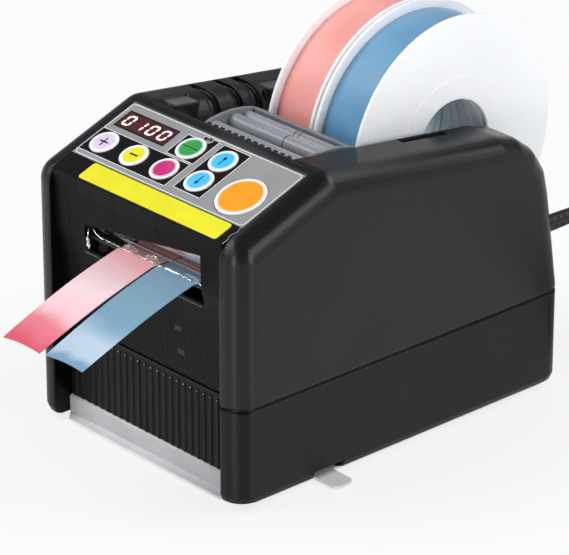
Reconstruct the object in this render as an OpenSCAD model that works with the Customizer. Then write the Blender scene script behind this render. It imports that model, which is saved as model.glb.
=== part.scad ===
// Electric tape and ribbon dispenser for a shop counter, with two ribbon spools loaded.
// Drawn with the front of the housing on y = 0, the table on z = 0 and x = 0 in the middle;
// each piece is then moved back by y_mid, so the origin is the bottom centre of the outline.

/* [Housing] */
// Width of a front pillar beside the cover and the keypad
pillar_w = 13; // [12:0.5:20]
// Room from the rear carrying roller's axle to the back of the housing
rear_room = 12; // [11:0.5:30]
// Radius of the rounded edges, half the thickness of a side wall
edge_r = 11; // [10:0.5:12]
// Width of a side wall's top, from its outer face inwards
top_w = 29; // [26:0.5:30]
// Rounding of the left wall's inner upper edge
left_soft = 12; // [8:0.5:13]
// Rounding of the right wall's inner upper edge
right_soft = 3; // [2:0.5:5]
// Depth of the ledge that widens the right wall's top
right_ledge = 6.5; // [5:0.5:8]
// Shell thickness
wall = 2.5; // [2:0.1:3]
// Height of the housing's lower rim above the table
rim_z = 2.5; // [2.2:0.1:4]
// Top of the base housing, where the dark seam starts
seam_z = 48; // [44:0.5:50]
// Height of the seam between the two housings
seam_gap = 2; // [1:0.1:2.5]
// Angle of the sloping top
slope_a = 20.4; // [18:0.1:23]
// Strip of the slope above the keypad
deck_lip = 5.5; // [4:0.5:9]
// Fall of the side walls towards the rear, degrees
top_fall = 7; // [4:0.5:9]
// Radius of the rear upper corner
rear_r = 37; // [30:1:45]
// Lean of the rear edge, in millimetres at the corner
rear_lean = 7; // [3:0.5:10]
// Height of the low rear wall above the seam
rear_wall_h = 18; // [10:1:22]

/* [Front cover] */
// Running gap round the moving covers and keys
gap = 0.3; // [0.2:0.05:0.5]
// Length of the cover's own strip of the slope
cover_band = 14.2; // [13:0.1:16]
// Radius of the cover's hinge pin
hinge_pin_r = 1.5; // [1:0.1:2]
// Height of the cover's hinge pin above the lower edge of the seam
hinge_h = 4.6; // [4:0.1:7]
// How far the outlet's lower edge lies below the ribbons
outlet_drop = 8; // [6:0.5:10]
// Height of the outlet at its left end
outlet_h0 = 13.5; // [11:0.5:18]
// Height of the outlet at its right end
outlet_h1 = 24.5; // [18:0.5:27]
// Height of the cover above the outlet
cover_head = 9.8; // [8:0.1:20]
// Spacing of the fine teeth on the outlet's lower lip
tooth_pitch = 1.5; // [1.2:0.1:2]
// Spacing of the ribs on the lower front panel
rib_pitch = 4.45; // [3:0.05:6]

/* [Keypad] */
// Diameter of the small keys
key_d = 13.9; // [12:0.5:16]
// Diameter of the start key
start_d = 23.8; // [20:0.5:25]
// Distance from the keypad's left edge to the plus key
key_side = 9.4; // [9:0.1:14]
// Distance between the keys of the lower row
row_pitch = 20.5; // [17:0.5:24]
// Distance from the select key to the arrow keys
arrow_step = 21.4; // [18:0.1:26]
// Distance from the arrow keys to the start key
start_step = 26.2; // [22:0.1:32]
// Distance from the start key to the keypad's right edge
start_side = 16; // [14:0.5:22]
// Distance from the keypad's lower edge to the lower row
row_rise = 11.6; // [9:0.1:14]
// Distance between the lower and the upper keys
row_step = 16.1; // [15.5:0.1:20]
// Distance from the upper keys to the keypad's upper edge
head_room = 11.3; // [9:0.1:14]
// Height of a key above the panel
key_rise = 0.5; // [0.3:0.1:1]
// Travel of a key
key_travel = 0.5; // [0.3:0.1:0.6]
// Thickness of the keypad panel
panel_t = 1.5; // [1.2:0.1:2]
// Width of the display window
display_w = 33; // [28:0.5:36]
// Height of the display window
display_h = 10.5; // [8:0.5:12]

/* [Tape path] */
// Width of one ribbon
ribbon_w = 25; // [20:0.5:25]
// Thickness of one ribbon
ribbon_t = 0.4; // [0.3:0.05:0.6]
// Distance between the middles of the two ribbons at the outlet
ribbon_pitch = 26.4; // [26:0.1:32]
// Distance from the right ribbon's middle to the right end of the outlet
ribbon_side = 18.8; // [14:0.1:20]
// Radius of the rubber feed roller
feed_r = 9; // [7:0.5:10]
// Radius of the pinch roller above it
pinch_r = 7; // [5:0.5:8]
// Distance of the two rollers from the front
nip_y = 40; // [38:0.5:42]
// Radius of the feed shaft
shaft_r = 3; // [2:0.1:3.5]
// Thickness of the chassis plates
plate_t = 2; // [1.5:0.1:2.5]
// Inner width of the chassis
chassis_w = 81; // [72:0.5:88]
// Distance from the chassis to the right pillar
chassis_side = 13.5; // [13:0.5:16]
// Radial clearance of a shaft in its bush
fit = 0.05; // [0.02:0.01:0.08]

/* [Drives] */
// Gear module
gear_m = 1; // [0.9:0.05:1.1]
// Teeth on the feed gear
feed_teeth = 32; // [28:4:36]
// Teeth on the motor pinion
pinion_teeth = 14; // [12:1:16]
// Width of the gears
gear_w = 5; // [4:0.5:6]
// Teeth on the cutter pinion
cutter_teeth = 12; // [12:1:14]
// Travel of the cutting blade
blade_travel = 8; // [6:0.5:8]
// Thickness of a blade
blade_t = 1.2; // [1:0.1:1.5]
// Radius of a gear motor
motor_r = 12; // [10:0.5:12.5]
// Gap between the feed motor and the chassis floor
motor_clear = 3.7; // [2:0.1:6]

/* [Guide unit] */
// Clearance from the right cheek to the right wall's top
guide_side = 0.5; // [0.4:0.1:2]
// Width over the cheeks
guide_w = 64.5; // [60:0.5:74]
// Depth of a cheek
guide_l = 35.5; // [32:0.5:42]
// Thickness of a cheek
cheek_t = 2; // [1.5:0.1:2.5]
// How far the cheeks stay below the crest of the housing
guide_drop = 2.87; // [1:0.01:5]
// Radius of the guide rollers
roller_r = 4.2; // [3.5:0.1:4.4]

/* [Spools] */
// Diameter of a spool's flanges
flange_d = 122; // [110:1:122]
// Thickness of a flange
flange_t = 1.5; // [1:0.1:2]
// Outer width of one spool
spool_w = 29.4; // [27.8:0.2:29.6]
// Distance between the middles of the two spools
spool_pitch = 30; // [30:0.1:31]
// Distance from the right spool to the right side wall
spool_side = 2.3; // [2:0.1:7]
// Gap between the guide unit and the spools
spool_clear = 1; // [0.6:0.1:4]
// Radius of the hub hole
hub_r = 22; // [19:0.5:24]
// Radius of the raised ring round the hub
ring_r = 32; // [28:0.5:36]
// How far a flange stands above the wound ribbon
flange_lip = 4; // [3:0.5:15]
// Radius of the carrying rollers
carry_r = 6; // [5:0.5:7]
// Half the distance between the carrying rollers
carry_half = 31; // [28:0.5:32]
// Height of the carrying rollers' axes above the cradle's underside
carry_h = 14.25; // [12:0.05:18]

/* [Base] */
// Thickness of the steel base plate
base_t = 1.2; // [1:0.1:1.5]
// Height of the feet below the plate
foot_h = 1; // [0.8:0.1:1.3]
// How far the fixing tongues stand out of the sides
tongue_out = 10.5; // [8:0.5:14]
// Width of a fixing tongue
tongue_w = 11.5; // [9:0.5:14]
// Distance of the tongues from the front
tongue_y = 53; // [50:0.5:60]
// Diameter of the mains lead
cord_d = 6; // [5:0.1:7]

/* [Hidden] */
$fn = 64;
hull_fn = 32;
over = 1;
snug = 0.02;

// Widths: the keypad's layout sets the front, and the side walls stand beside it
front_w = key_side + 2 * row_pitch + arrow_step + start_step + start_side;
body_w = front_w + 2 * pillar_w;
rail_x = body_w / 2 - top_w;
chassis_x1 = front_w / 2 - chassis_side;
chassis_x0 = chassis_x1 - chassis_w;
outlet_x0 = chassis_x0 + 1;
outlet_x1 = chassis_x1 - 1.5;
ribbon_x1 = outlet_x1 - ribbon_side;
ribbon_x0 = ribbon_x1 - ribbon_pitch;
guide_x1 = rail_x - guide_side;
guide_x0 = guide_x1 - guide_w;

// Heights: the feed motor stands over the chassis floor, the ribbons run over the feed roller
motor_z = seam_z + plate_t + motor_clear + motor_r;
gear_dist = gear_m * (feed_teeth + pinion_teeth) / 2;
feed_z = motor_z + gear_dist;
path_z = feed_z + feed_r + gap;
pinch_z = path_z + ribbon_t + gap + pinch_r;
outlet_z = path_z - outlet_drop;
front_z = outlet_z + outlet_h1 + cover_head;
hinge_y = 12;
hinge_z = seam_z + hinge_h;
knuckle_r = 3.5;

// Keypad along the slope
lip_v = cover_band + gap;
row_v = lip_v + row_rise;
upper_v = row_v + row_step;
panel_v1 = upper_v + head_room;
slope_len = panel_v1 + deck_lip;

// Side profile of the housing: the slope and the falling top
deck_y = slope_len * cos(slope_a);
crest_z = front_z + slope_len * sin(slope_a);
wall_in = body_w / 2 - 2 * edge_r;
spine_x = body_w / 2 - edge_r;
upper_z = seam_z + seam_gap;
rear_wall_z = upper_z + rear_wall_h;

// Guide unit behind the deck, then the spools on their carrying rollers
guide_y0 = deck_y + 4.2;
guide_y1 = guide_y0 + guide_l;
guide_top = crest_z - guide_drop;
guide_pivot = [guide_y0 + 4.5, guide_top - 12.7];
spool_front = guide_y1 + spool_clear;
spool_y = spool_front + flange_d / 2;

// Depth of the housing in whole tenths of a millimetre, and its rear upper corner
body_d = round(10 * (spool_y + carry_half + rear_room)) / 10;
corner_y = body_d - rear_lean - rear_r;
corner_z = crest_z - (corner_y - deck_y) * tan(top_fall) - rear_r / cos(top_fall);
carry_z = seam_z + carry_h;
spool_z = carry_z + sqrt(pow(flange_d / 2 + gap + carry_r, 2) - pow(carry_half, 2));
wound_r = flange_d / 2 - flange_lip;
spool_x1 = rail_x - spool_side - spool_w / 2;
spool_x = spool_x1 - spool_pitch;

// The tape tails hang out of the outlet; their middle line starts on the guide shelf
shelf_y0 = 4.5;
shelf_y1 = 12.5;
blade_y = 13.6;
tail_end_y = -60;
tail_drop = 21;
tail_steps = 12;

cutter_pitch_r = gear_m * cutter_teeth / 2;

// Keys on the slope: x, distance up the slope, diameter
row_x = key_side - front_w / 2;
arrow_x = row_x + 2 * row_pitch + arrow_step;
key_plus_at = [row_x, row_v, key_d];
key_minus_at = [row_x + row_pitch, row_v, key_d];
key_select_at = [row_x + 2 * row_pitch, row_v, key_d];
key_mode_at = [row_x + 2 * row_pitch + 0.4, upper_v, key_d + 0.5];
key_up_at = [arrow_x, row_v + row_step + 0.5, key_d];
key_down_at = [arrow_x, row_v + 1.6, key_d];
key_start_at = [arrow_x + start_step, row_v + 2.9, start_d];
KEYS = [key_plus_at, key_minus_at, key_select_at, key_mode_at, key_up_at, key_down_at, key_start_at];
display_at = [row_x + 10.8, upper_v + 0.6];
led_at = [key_mode_at[0] + 4, upper_v + 8.2];
led_r = 1.2;
key_flange = 0.8;
key_flange_t = 0.8;
ear_w = 6;
board_n = -7;
board_t = 1.6;

// Cord: where it leaves the rear, and the hand-chosen route of its free stretches
gland_x = 56;
gland_z = 75.7;
gland_r = 5;
gland_tip_r = cord_d / 2 + 0.5;
gland_end_y = 226;
y_mid = (gland_end_y + tail_end_y) / 2;
CORD_ROUTE = [[56, 226, 75.7], [56, 232.7, 74.8], [56, 239, 72.2], [56, 244.4, 68.1], [56, 248.5, 62.7],
  [56, 251.1, 56.4], [56, 252, 49.7], [56, 252, 44.8], [56, 252, 39.9], [56, 252, 35], [56, 252.9, 28.3],
  [56, 255.5, 22], [56, 259.6, 16.6], [56, 265, 12.5], [56, 271.3, 9.9], [56, 278, 9]];
PLUG_ROUTE = [[56, 290, 3], [56, 295, 3.4], [56, 300, 4.6], [56, 305, 6.4], [56, 310, 7.6], [56, 315, 8]];
coil_r = 6 * cord_d;
coil_turns_wide = 3;
coil_turns_high = 2;
coil_x = 98;
coil_y = 278;

module placed() {
  translate([0, -y_mid, 0]) children();
}

module on_slope() {
  translate([0, 0, front_z]) rotate([slope_a, 0, 0]) children();
}

// Extrudes a side profile drawn in (y, z) from x0 to x1
module side_slab(x0, x1) {
  translate([x0, 0, 0]) rotate([90, 0, 90]) linear_extrude(x1 - x0) children();
}

module x_rod(x0, x1, y, z, r) {
  translate([x0, y, z]) rotate([0, 90, 0]) cylinder(h = x1 - x0, r = r);
}

// Points, as (y, z), at which balls of radius r touch the profile from inside, inset by d
function front_point(r) = [edge_r, front_z + edge_r * tan(slope_a) - r / cos(slope_a)];
function crest_point(r) = [deck_y + r * sin((slope_a - top_fall) / 2) / cos((slope_a + top_fall) / 2),
  crest_z - r * cos((slope_a - top_fall) / 2) / cos((slope_a + top_fall) / 2)];
function corner_point(a, r) = [corner_y + (rear_r - r) * sin(a), corner_z + (rear_r - r) * cos(a)];
function top_points(r) = concat([crest_point(r)], [for (a = [top_fall : 20 : 87]) corner_point(a, r)]);

module ball(x, p, r) {
  translate([x, p[0], p[1]]) sphere(r = r, $fn = hull_fn);
}

// One rounded side wall, or the hollow inside it when r is smaller than edge_r
module wall_form(x, r) {
  hull() {
    ball(x, [edge_r, 0], r);
    ball(x, front_point(edge_r), r);
    for (p = top_points(edge_r)) ball(x, p, r);
    ball(x, [body_d - edge_r, upper_z], r);
    ball(x, [body_d - edge_r, 0], r);
  }
}

// The full-width front block under the slope, up to the rear edge of the deck
module front_form(r) {
  intersection() {
    hull() for (x = [-spine_x, spine_x]) {
      ball(x, [edge_r, 0], r);
      ball(x, front_point(edge_r), r);
      ball(x, crest_point(edge_r), r);
      ball(x, [deck_y, 0], r);
    }
    translate([-body_w, -over, -body_w]) cube([2 * body_w, deck_y + over, 3 * body_w]);
  }
}

// Outline of the rear of a side wall as (y, z), without rounding
module rear_outline(t) {
  polygon([[body_d - t, 0], [body_d, 0], [body_d, upper_z],
    [body_d - rear_lean, corner_z], [body_d - rear_lean - t, corner_z], [body_d - t, upper_z]]);
}

// Flat rests in the left wall's top, grooves between them and a pocket in the right wall's top, as [y0, y1]
RESTS = [[61, 75.5], [118, 143]];
rest_w = 10;
rest_depth = 1.3;
GROOVES = [[83.5, 89], [98.7, 103], [108.8, 114.3]];
groove_depth = 2.2;
POCKET = [[rail_x + 2.6, rail_x + 7.6], [116, 144]];
pocket_depth = 2.5;
left_ledge = left_soft + 2;

// Frame of the side walls' falling top: its origin at the crest, y along the top
module on_top() {
  translate([0, deck_y, crest_z]) rotate([-top_fall, 0, 0]) children();
}

function along_top(y) = (y - deck_y) / cos(top_fall);

// Block under the top's plane, from z0 up to z1, over [x0, x1] and [y0, y1]
module top_block(x, y, z0, z1) {
  on_top() translate([x[0], along_top(y[0]), z0])
    cube([x[1] - x[0], along_top(y[1]) - along_top(y[0]), z1 - z0]);
}

// The wide top of side wall s, inset by d; its inner upper edge is rounded by r
module top_form(s, r, d) {
  hull() {
    for (p = top_points(r)) ball(s * (rail_x + r), p, r - d);
    for (p = top_points(edge_r)) ball(s * spine_x, p, edge_r - d);
  }
}

module wall_top(s, r, ledge) {
  intersection() {
    top_form(s, r, 0);
    top_block([-body_w, body_w], [deck_y - 1, 2 * body_d], -ledge, body_w);
  }
}

module upper_skin() {
  front_form(edge_r);
  for (s = [-1, 1]) wall_form(s * spine_x, edge_r);
  wall_top(-1, left_soft, left_ledge);
  wall_top(1, right_soft, right_ledge);
  for (y = RESTS) top_block([-rail_x - rest_w, -rail_x - rest_depth / 4], y, -left_ledge, -rest_depth);
  // low rear wall and the square inner corners at the rear
  side_slab(-spine_x, spine_x) intersection() {
    rear_outline(wall);
    square([body_d + over, rear_wall_z]);
  }
  for (s = [0, 1]) mirror([s, 0, 0]) side_slab(wall_in, spine_x) rear_outline(edge_r);
}

module upper_hollow() {
  inner_r = edge_r - wall;
  for (s = [-1, 1]) intersection() {
    wall_form(s * spine_x, inner_r);
    translate([-body_w, edge_r + wall, 0]) cube([2 * body_w, body_d, 2 * body_w]);
  }
  intersection() {
    front_form(inner_r);
    translate([-body_w, edge_r + wall, 0]) cube([2 * body_w, body_d, 2 * body_w]);
  }
  // open to the bay under the deck, and open to the cover at the front
  side_slab(-wall_in, wall_in) polygon([[edge_r, 0], [edge_r, front_z - wall],
    [deck_y + over, crest_z - wall / cos(slope_a)], [deck_y + over, 0]]);
  translate([-front_w / 2 - gap, -over, 0])
    cube([front_w + 2 * gap, cover_band * cos(slope_a) + over, 2 * body_w]);
  side_slab(-front_w / 2 - gap, front_w / 2 + gap)
    polygon([[-over, 0], [-over, front_z], [edge_r + 2 * wall, front_z],
    [edge_r + 2 * wall, 0]]);
}

screw_r = 1.6;
screw_head_r = 3;
post_r = 4.5;
boss_top = 63;
post_x = spine_x - 1.5;
POSTS = [for (x = [-post_x, post_x], y = [26, 180]) [x, y]];

// Screw bosses in the upper housing, each with a rib to the side wall
module screw_bosses() {
  for (p = POSTS) translate([p[0], p[1], upper_z]) {
    cylinder(h = boss_top - upper_z, r = post_r);
    translate([p[0] > 0 ? 0 : post_x - body_w / 2 + 1, -wall / 2, 0])
      cube([body_w / 2 - 1 - post_x, wall, boss_top - upper_z]);
  }
}

module upper_housing() {
  half = front_w / 2 + gap;
  window_v = lip_v + 1.5;
  color([0.16, 0.16, 0.17]) placed() difference() {
    union() {
      difference() {
        upper_skin();
        upper_hollow();
      }
      screw_bosses();
    }
    translate([-body_w, -body_w, -body_w]) cube([2 * body_w, 3 * body_w, body_w + upper_z]);
    for (p = POSTS) translate([p[0], p[1], 0]) cylinder(h = boss_top - 1.5, r = screw_r + fit);
    for (s = [-1, 1]) x_rod(min(s * (half - over), s * (half + 3.5)),
      max(s * (half - over), s * (half + 3.5)), hinge_y, hinge_z,
      hinge_pin_r + snug);
    // recess and opening for the keypad, behind the cover's own strip of the slope
    on_slope() {
      translate([-half, -over, -2 * wall]) cube([2 * half, lip_v + over, 4 * wall]);
      translate([-half, cover_band - over, -panel_t])
        cube([2 * half, panel_v1 + gap - cover_band + over, 2 * panel_t]);
      translate([-half + 1.1, window_v, -4 * wall])
        cube([2 * half - 2.2, panel_v1 - 1.8 - window_v, 5 * wall]);
    }
    for (y = RESTS) top_block([-rail_x - rest_w, over - rail_x], y, -rest_depth, body_w);
    top_block(POCKET[0], POCKET[1], -pocket_depth, body_w);
    // grooves over the left wall's inner half
    difference() {
      for (y = GROOVES) top_block([-spine_x - 3, over - rail_x], y, -left_ledge - over, body_w);
      top_form(-1, left_soft, groove_depth);
    }
    // hole for the strain relief
    translate([gland_x, body_d - 3 * edge_r, gland_z]) rotate([-90, 0, 0])
      cylinder(h = 4 * edge_r, r = gland_r);
  }
}
upper_housing();

deck_t = 3;
panel_y = 10;
rib_out = 0.6;
tongue_clear = 3;

// The base housing's outer form, inset by d and softened at its lower rim
module base_form(d, z0, z1) {
  soft = 4;
  hull() for (x = [-spine_x, spine_x], y = [edge_r, body_d - edge_r]) translate([x, y, 0]) {
    translate([0, 0, z0]) cylinder(h = 1, r = edge_r - d - soft, $fn = hull_fn);
    translate([0, 0, z0 + 0.3 * soft]) cylinder(h = 1, r = edge_r - d - 0.3 * soft, $fn = hull_fn);
    translate([0, 0, z0 + soft]) cylinder(h = z1 - z0 - soft, r = edge_r - d, $fn = hull_fn);
  }
}

module base_housing() {
  front_in = panel_y + wall;
  color([0.13, 0.13, 0.14]) placed() difference() {
    union() {
      difference() {
        union() {
          base_form(0, rim_z, seam_z);
          base_form(seam_gap * 0.6, rim_z, upper_z);
        }
        difference() {
          base_form(wall, rim_z - 0.05, upper_z + over);
          translate([-front_w / 2 - gap - wall, 0, 0])
            cube([front_w + 2 * (gap + wall), front_in + wall, seam_z]);
        }
      }
      translate([-spine_x - 2, front_in, seam_z - deck_t])
        cube([2 * spine_x + 4, body_d - front_in - 1.5 * wall, deck_t]);
      for (p = POSTS) translate([p[0], p[1], foot_h + base_t])
        cylinder(h = seam_z - foot_h - base_t, r = post_r);
    }
    translate([-front_w / 2 - gap, -over, 0]) cube([front_w + 2 * gap, front_in + over, upper_z + over]);
    translate([-spine_x, -over, seam_z]) cube([2 * spine_x, front_in + wall + over, upper_z]);
    for (p = POSTS) translate([p[0], p[1], 0]) cylinder(h = body_w, r = screw_r + fit);
    for (p = POSTS) translate([p[0], p[1], foot_h])
      cylinder(h = screw_head_r, r1 = screw_head_r + 0.2, r2 = screw_r);
    // clearance for the fixing tongues in the lower rim
    translate([-body_w, tongue_y - tongue_w / 2 - tongue_clear, 0])
      cube([2 * body_w, tongue_w + 2 * tongue_clear, rim_z + 4.5]);
    translate([switch_at[0] - switch_w / 2, body_d - 2 * wall, switch_at[1] - switch_h / 2])
      cube([switch_w, 4 * wall, switch_h]);
  }
}
base_housing();

module plate_outline() {
  chamfer = 5;
  half = body_w / 2 - 4.5;
  polygon([[-half, edge_r + 2], [half, edge_r + 2], [half, body_d - 10], [half - chamfer, body_d - 5],
    [-half + chamfer, body_d - 5], [-half, body_d - 10]]);
  polygon([[-front_w / 2 + 0.5, edge_r + 3], [-front_w / 2 + 0.5, 3.5 + chamfer],
    [-front_w / 2 + 0.5 + chamfer, 3.5],
    [front_w / 2 - 0.5 - chamfer, 3.5], [front_w / 2 - 0.5, 3.5 + chamfer],
      [front_w / 2 - 0.5, edge_r + 3]]);
  r = tongue_w / 3;
  translate([0, tongue_y]) offset(r)
    square([body_w + 2 * (tongue_out - r), tongue_w - 2 * r], center = true);
}

module base_plate() {
  color([0.75, 0.76, 0.77]) placed() difference() {
    translate([0, 0, foot_h]) linear_extrude(base_t) plate_outline();
    for (p = POSTS) translate([p[0], p[1], foot_h - 0.01])
      cylinder(h = base_t + 0.02, r1 = screw_head_r + 0.1, r2 = screw_r + 0.6);
  }
}
base_plate();

module housing_screws() {
  color([0.6, 0.6, 0.62]) placed() for (p = POSTS) translate([p[0], p[1], foot_h]) {
    cylinder(h = screw_head_r - screw_r, r1 = screw_head_r, r2 = screw_r);
    cylinder(h = boss_top - 2 - foot_h, r = screw_r);
  }
}
housing_screws();

module rubber_feet() {
  color([0.1, 0.1, 0.1]) placed() for (x = [-44, 44], y = [22, body_d - 20]) translate([x, y, 0])
    cylinder(h = foot_h, r = 7);
}
rubber_feet();

module ribbed_panel() {
  half = front_w / 2 - gap;
  ribs = floor((half - 2) / rib_pitch);
  color([0.12, 0.12, 0.12]) placed() {
    translate([-half, panel_y, 11.2]) cube([2 * half, wall, seam_z - 0.4 - 11.2]);
    translate([0, 0, 11.2]) linear_extrude(seam_z - 3.4 - 11.2)
      for (i = [-ribs : ribs]) translate([i * rib_pitch, panel_y])
        polygon([[-1.1, 0.1], [-0.6, -rib_out], [0.6, -rib_out], [1.1, 0.1]]);
  }
}
ribbed_panel();

module front_strip() {
  y0 = panel_y - 1.2;
  z0 = foot_h + base_t;
  color([0.62, 0.62, 0.63]) placed() side_slab(-front_w / 2, front_w / 2)
    polygon([[y0, z0], [y0, 9.8], [y0 + 1, 10.8], [panel_y + wall, 10.8], [panel_y + wall, z0]]);
}
front_strip();

// Front cover: points of its outer line from the lower edge to the slope,
// each with its share of the height and its distance from the front
COVER_CURVE = [[0, 9.5], [0.146, 8.5], [0.226, 7.9], [0.39, 6.8], [0.461, 6.1], [0.5525, 5], [0.651, 3.3],
  [0.77, 3], [0.914, 2.6]];
cover_z0 = seam_z + 1;
COVER_LINE = [for (c = COVER_CURVE) [c[1], cover_z0 + c[0] * (front_z - cover_z0)]];
cover_top = [1.7 * cos(slope_a), front_z + 1.7 * sin(slope_a)];
shelf_x0 = outlet_x0 - 1.5;
shelf_x1 = outlet_x1 + 1.2;

module cover_solid() {
  polygon(concat(COVER_LINE, [cover_top, [60, front_z + 60 * tan(slope_a)], [60, COVER_LINE[0][1]]]));
}

module cover_profile() {
  difference() {
    cover_solid();
    difference() {
      offset(delta = -wall) cover_solid();
      translate([hinge_y - knuckle_r, 0]) square([body_w, hinge_z + knuckle_r * 0.4]);
    }
    translate([hinge_y + 1, 0]) square([body_w, front_z]);
    translate([0, front_z]) rotate(slope_a) translate([cover_band, -body_w]) square([body_w, 2 * body_w]);
  }
}

module outlet_window() {
  n = floor((outlet_x1 - outlet_x0) / tooth_pitch);
  pitch = (outlet_x1 - outlet_x0) / n;
  teeth = [for (i = [0 : n - 1], k = [0, 1]) [outlet_x0 + (i + k * 0.5) * pitch, outlet_z + k * 1.2]];
  polygon(concat(teeth,
    [[outlet_x1, outlet_z], [outlet_x1, outlet_z + outlet_h1], [outlet_x0, outlet_z + outlet_h0]]));
}

module front_cover() {
  half = front_w / 2;
  color([0.11, 0.11, 0.12]) placed() difference() {
    union() {
      difference() {
        side_slab(-half, half) cover_profile();
        // the lower edge is cut back between the two knuckles
        translate([-half + 9, hinge_y - 1.2, 0]) cube([2 * half - 18, body_w, hinge_z + 2 * knuckle_r]);
      }
      for (s = [-1, 1]) translate([s * (half - 4.5) - 4, 0, 0]) x_rod(0, 8, hinge_y, hinge_z, knuckle_r);
    }
    translate([0, 15, 0]) rotate([90, 0, 0]) linear_extrude(30) outlet_window();
    x_rod(-body_w, body_w, hinge_y, hinge_z, hinge_pin_r + fit);
  }
}
front_cover();

module cover_hinge_pin() {
  reach = front_w / 2 + gap + 3;
  color([0.7, 0.7, 0.72]) placed() x_rod(-reach, reach, hinge_y, hinge_z, hinge_pin_r);
}
cover_hinge_pin();

module yellow_strip() {
  color([0.94, 0.92, 0.05]) placed() on_slope() translate([6, cover_band / 2 + 1.2, snug])
    linear_extrude(0.3)
    offset(1.5) square([front_w - 25, cover_band - 6.4], center = true);
}
yellow_strip();

// Shelf behind the outlet that carries the tape tails, with a cheek at each end on the cover's inside
module outlet_guide() {
  color([0.15, 0.15, 0.16]) placed() {
    side_slab(shelf_x0, shelf_x1) difference() {
      polygon([[shelf_y0 + 2, path_z - gap - 1.5], [shelf_y1, path_z - gap - 1.5],
        [shelf_y1, path_z - gap], [shelf_y0 + 1, path_z - gap]]);
      side_cut();
    }
    for (x = [shelf_x0 - 2, shelf_x1]) side_slab(x, x + 2) difference() {
      polygon([[0, path_z - 12], [shelf_y1, path_z - 8], [shelf_y1, path_z + 10], [0, path_z + 14]]);
      side_cut();
    }
  }
}
module side_cut() {
  intersection() {
    offset(delta = 0.02) cover_profile();
    square(2 * body_w);
  }
  translate([-body_w, 0]) square([body_w + 6, 2 * body_w]);
}
outlet_guide();

// Wavy metal strip that presses on the tails, bowed forward into the outlet
module press_spring() {
  x0 = shelf_x0 + 0.1;
  x1 = shelf_x1 - 0.1;
  bow0 = x0 + 14.9;
  bow1 = outlet_x1 - 3;
  waves = 31;
  line = concat([[x0, 8], [bow0 - 7, 8]],
    [for (i = [0 : waves]) [bow0 + i * (bow1 - bow0) / waves, 5.1 + (i % 2) * 0.7]],
    [[bow1 + 2, 8], [x1, 8]]);
  back = [for (i = [len(line) - 1 : -1 : 0]) line[i] + [0, 0.3]];
  color([0.85, 0.85, 0.87]) placed() translate([0, 0, path_z + ribbon_t + gap]) linear_extrude(6)
    polygon(concat(line, back));
}
press_spring();

// Tape tail: lies on the shelf and droops forward from its edge
module tail(x, end_y) {
  start_y = blade_y - 0.6;
  far = shelf_y0 - end_y;
  line = concat([[start_y, path_z]], [for (i = [0 : tail_steps]) let (t = i / tail_steps)
    [shelf_y0 - far * t, path_z - tail_drop * (0.75 * t + 0.25 * t * t)]]);
  back = [for (i = [len(line) - 1 : -1 : 0]) line[i] + [0, ribbon_t]];
  placed() side_slab(x - ribbon_w / 2, x + ribbon_w / 2) polygon(concat(line, back));
}

module ribbon_tail_pink() {
  color([0.93, 0.63, 0.65]) tail(ribbon_x0, tail_end_y);
}
ribbon_tail_pink();

module ribbon_tail_blue() {
  color([0.45, 0.6, 0.72]) tail(ribbon_x1, tail_end_y + 2);
}
ribbon_tail_blue();

BOARD_POSTS = [[3 - front_w / 2, (row_v + upper_v) / 2 + 1.6],
  [row_x + 1.5 * row_pitch - 0.5, (row_v + upper_v) / 2 + 0.6],
  [arrow_x + start_step - 11, panel_v1 - 5.2], [front_w / 2 - 3, lip_v + 4.1]];

module keypad_panel() {
  color([0.62, 0.62, 0.63]) placed() on_slope() {
    difference() {
      translate([-front_w / 2, lip_v, -panel_t]) cube([front_w, panel_v1 - lip_v, panel_t]);
      for (k = KEYS) translate([k[0], k[1], -over - panel_t])
        cylinder(h = 2 * over + panel_t, r = k[2] / 2 + gap);
      translate([display_at[0], display_at[1], 0])
        cube([display_w, display_h, 4 * panel_t], center = true);
      translate([led_at[0], led_at[1], -2 * panel_t]) cylinder(h = 4 * panel_t, r = led_r + 0.2);
    }
    for (p = BOARD_POSTS) translate([p[0], p[1], board_n]) cylinder(h = -board_n - panel_t, r = 1.6);
  }
}
keypad_panel();

module display_window() {
  color([0.25, 0.03, 0.05]) placed() on_slope() translate([display_at[0], display_at[1], -panel_t / 2])
    cube([display_w - 0.1, display_h - 0.1, panel_t], center = true);
}
display_window();

// One key: its cap stands above the panel and an ear on each side keeps it underneath
module key(k) {
  placed() on_slope() translate([k[0], k[1], 0]) {
    translate([0, 0, -panel_t - key_flange_t])
      cylinder(h = panel_t + key_flange_t + key_rise, r = k[2] / 2);
    translate([0, 0, -panel_t - key_flange_t - 0.1]) intersection() {
      cylinder(h = key_flange_t, r = k[2] / 2 + key_flange);
      translate([0, 0, key_flange_t / 2]) cube([2 * k[2], ear_w, key_flange_t], center = true);
    }
  }
}

module key_plus() {
  color([0.88, 0.8, 0.91]) key(key_plus_at);
}
key_plus();

module key_minus() {
  color([0.94, 0.9, 0.12]) key(key_minus_at);
}
key_minus();

module key_select() {
  color([0.89, 0.16, 0.59]) key(key_select_at);
}
key_select();

module key_mode() {
  color([0.29, 0.73, 0.37]) key(key_mode_at);
}
key_mode();

module key_up() {
  color([0.27, 0.76, 0.94]) key(key_up_at);
}
key_up();

module key_down() {
  color([0.27, 0.76, 0.94]) key(key_down_at);
}
key_down();

module key_start() {
  color([1, 0.7, 0]) key(key_start_at);
}
key_start();

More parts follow.
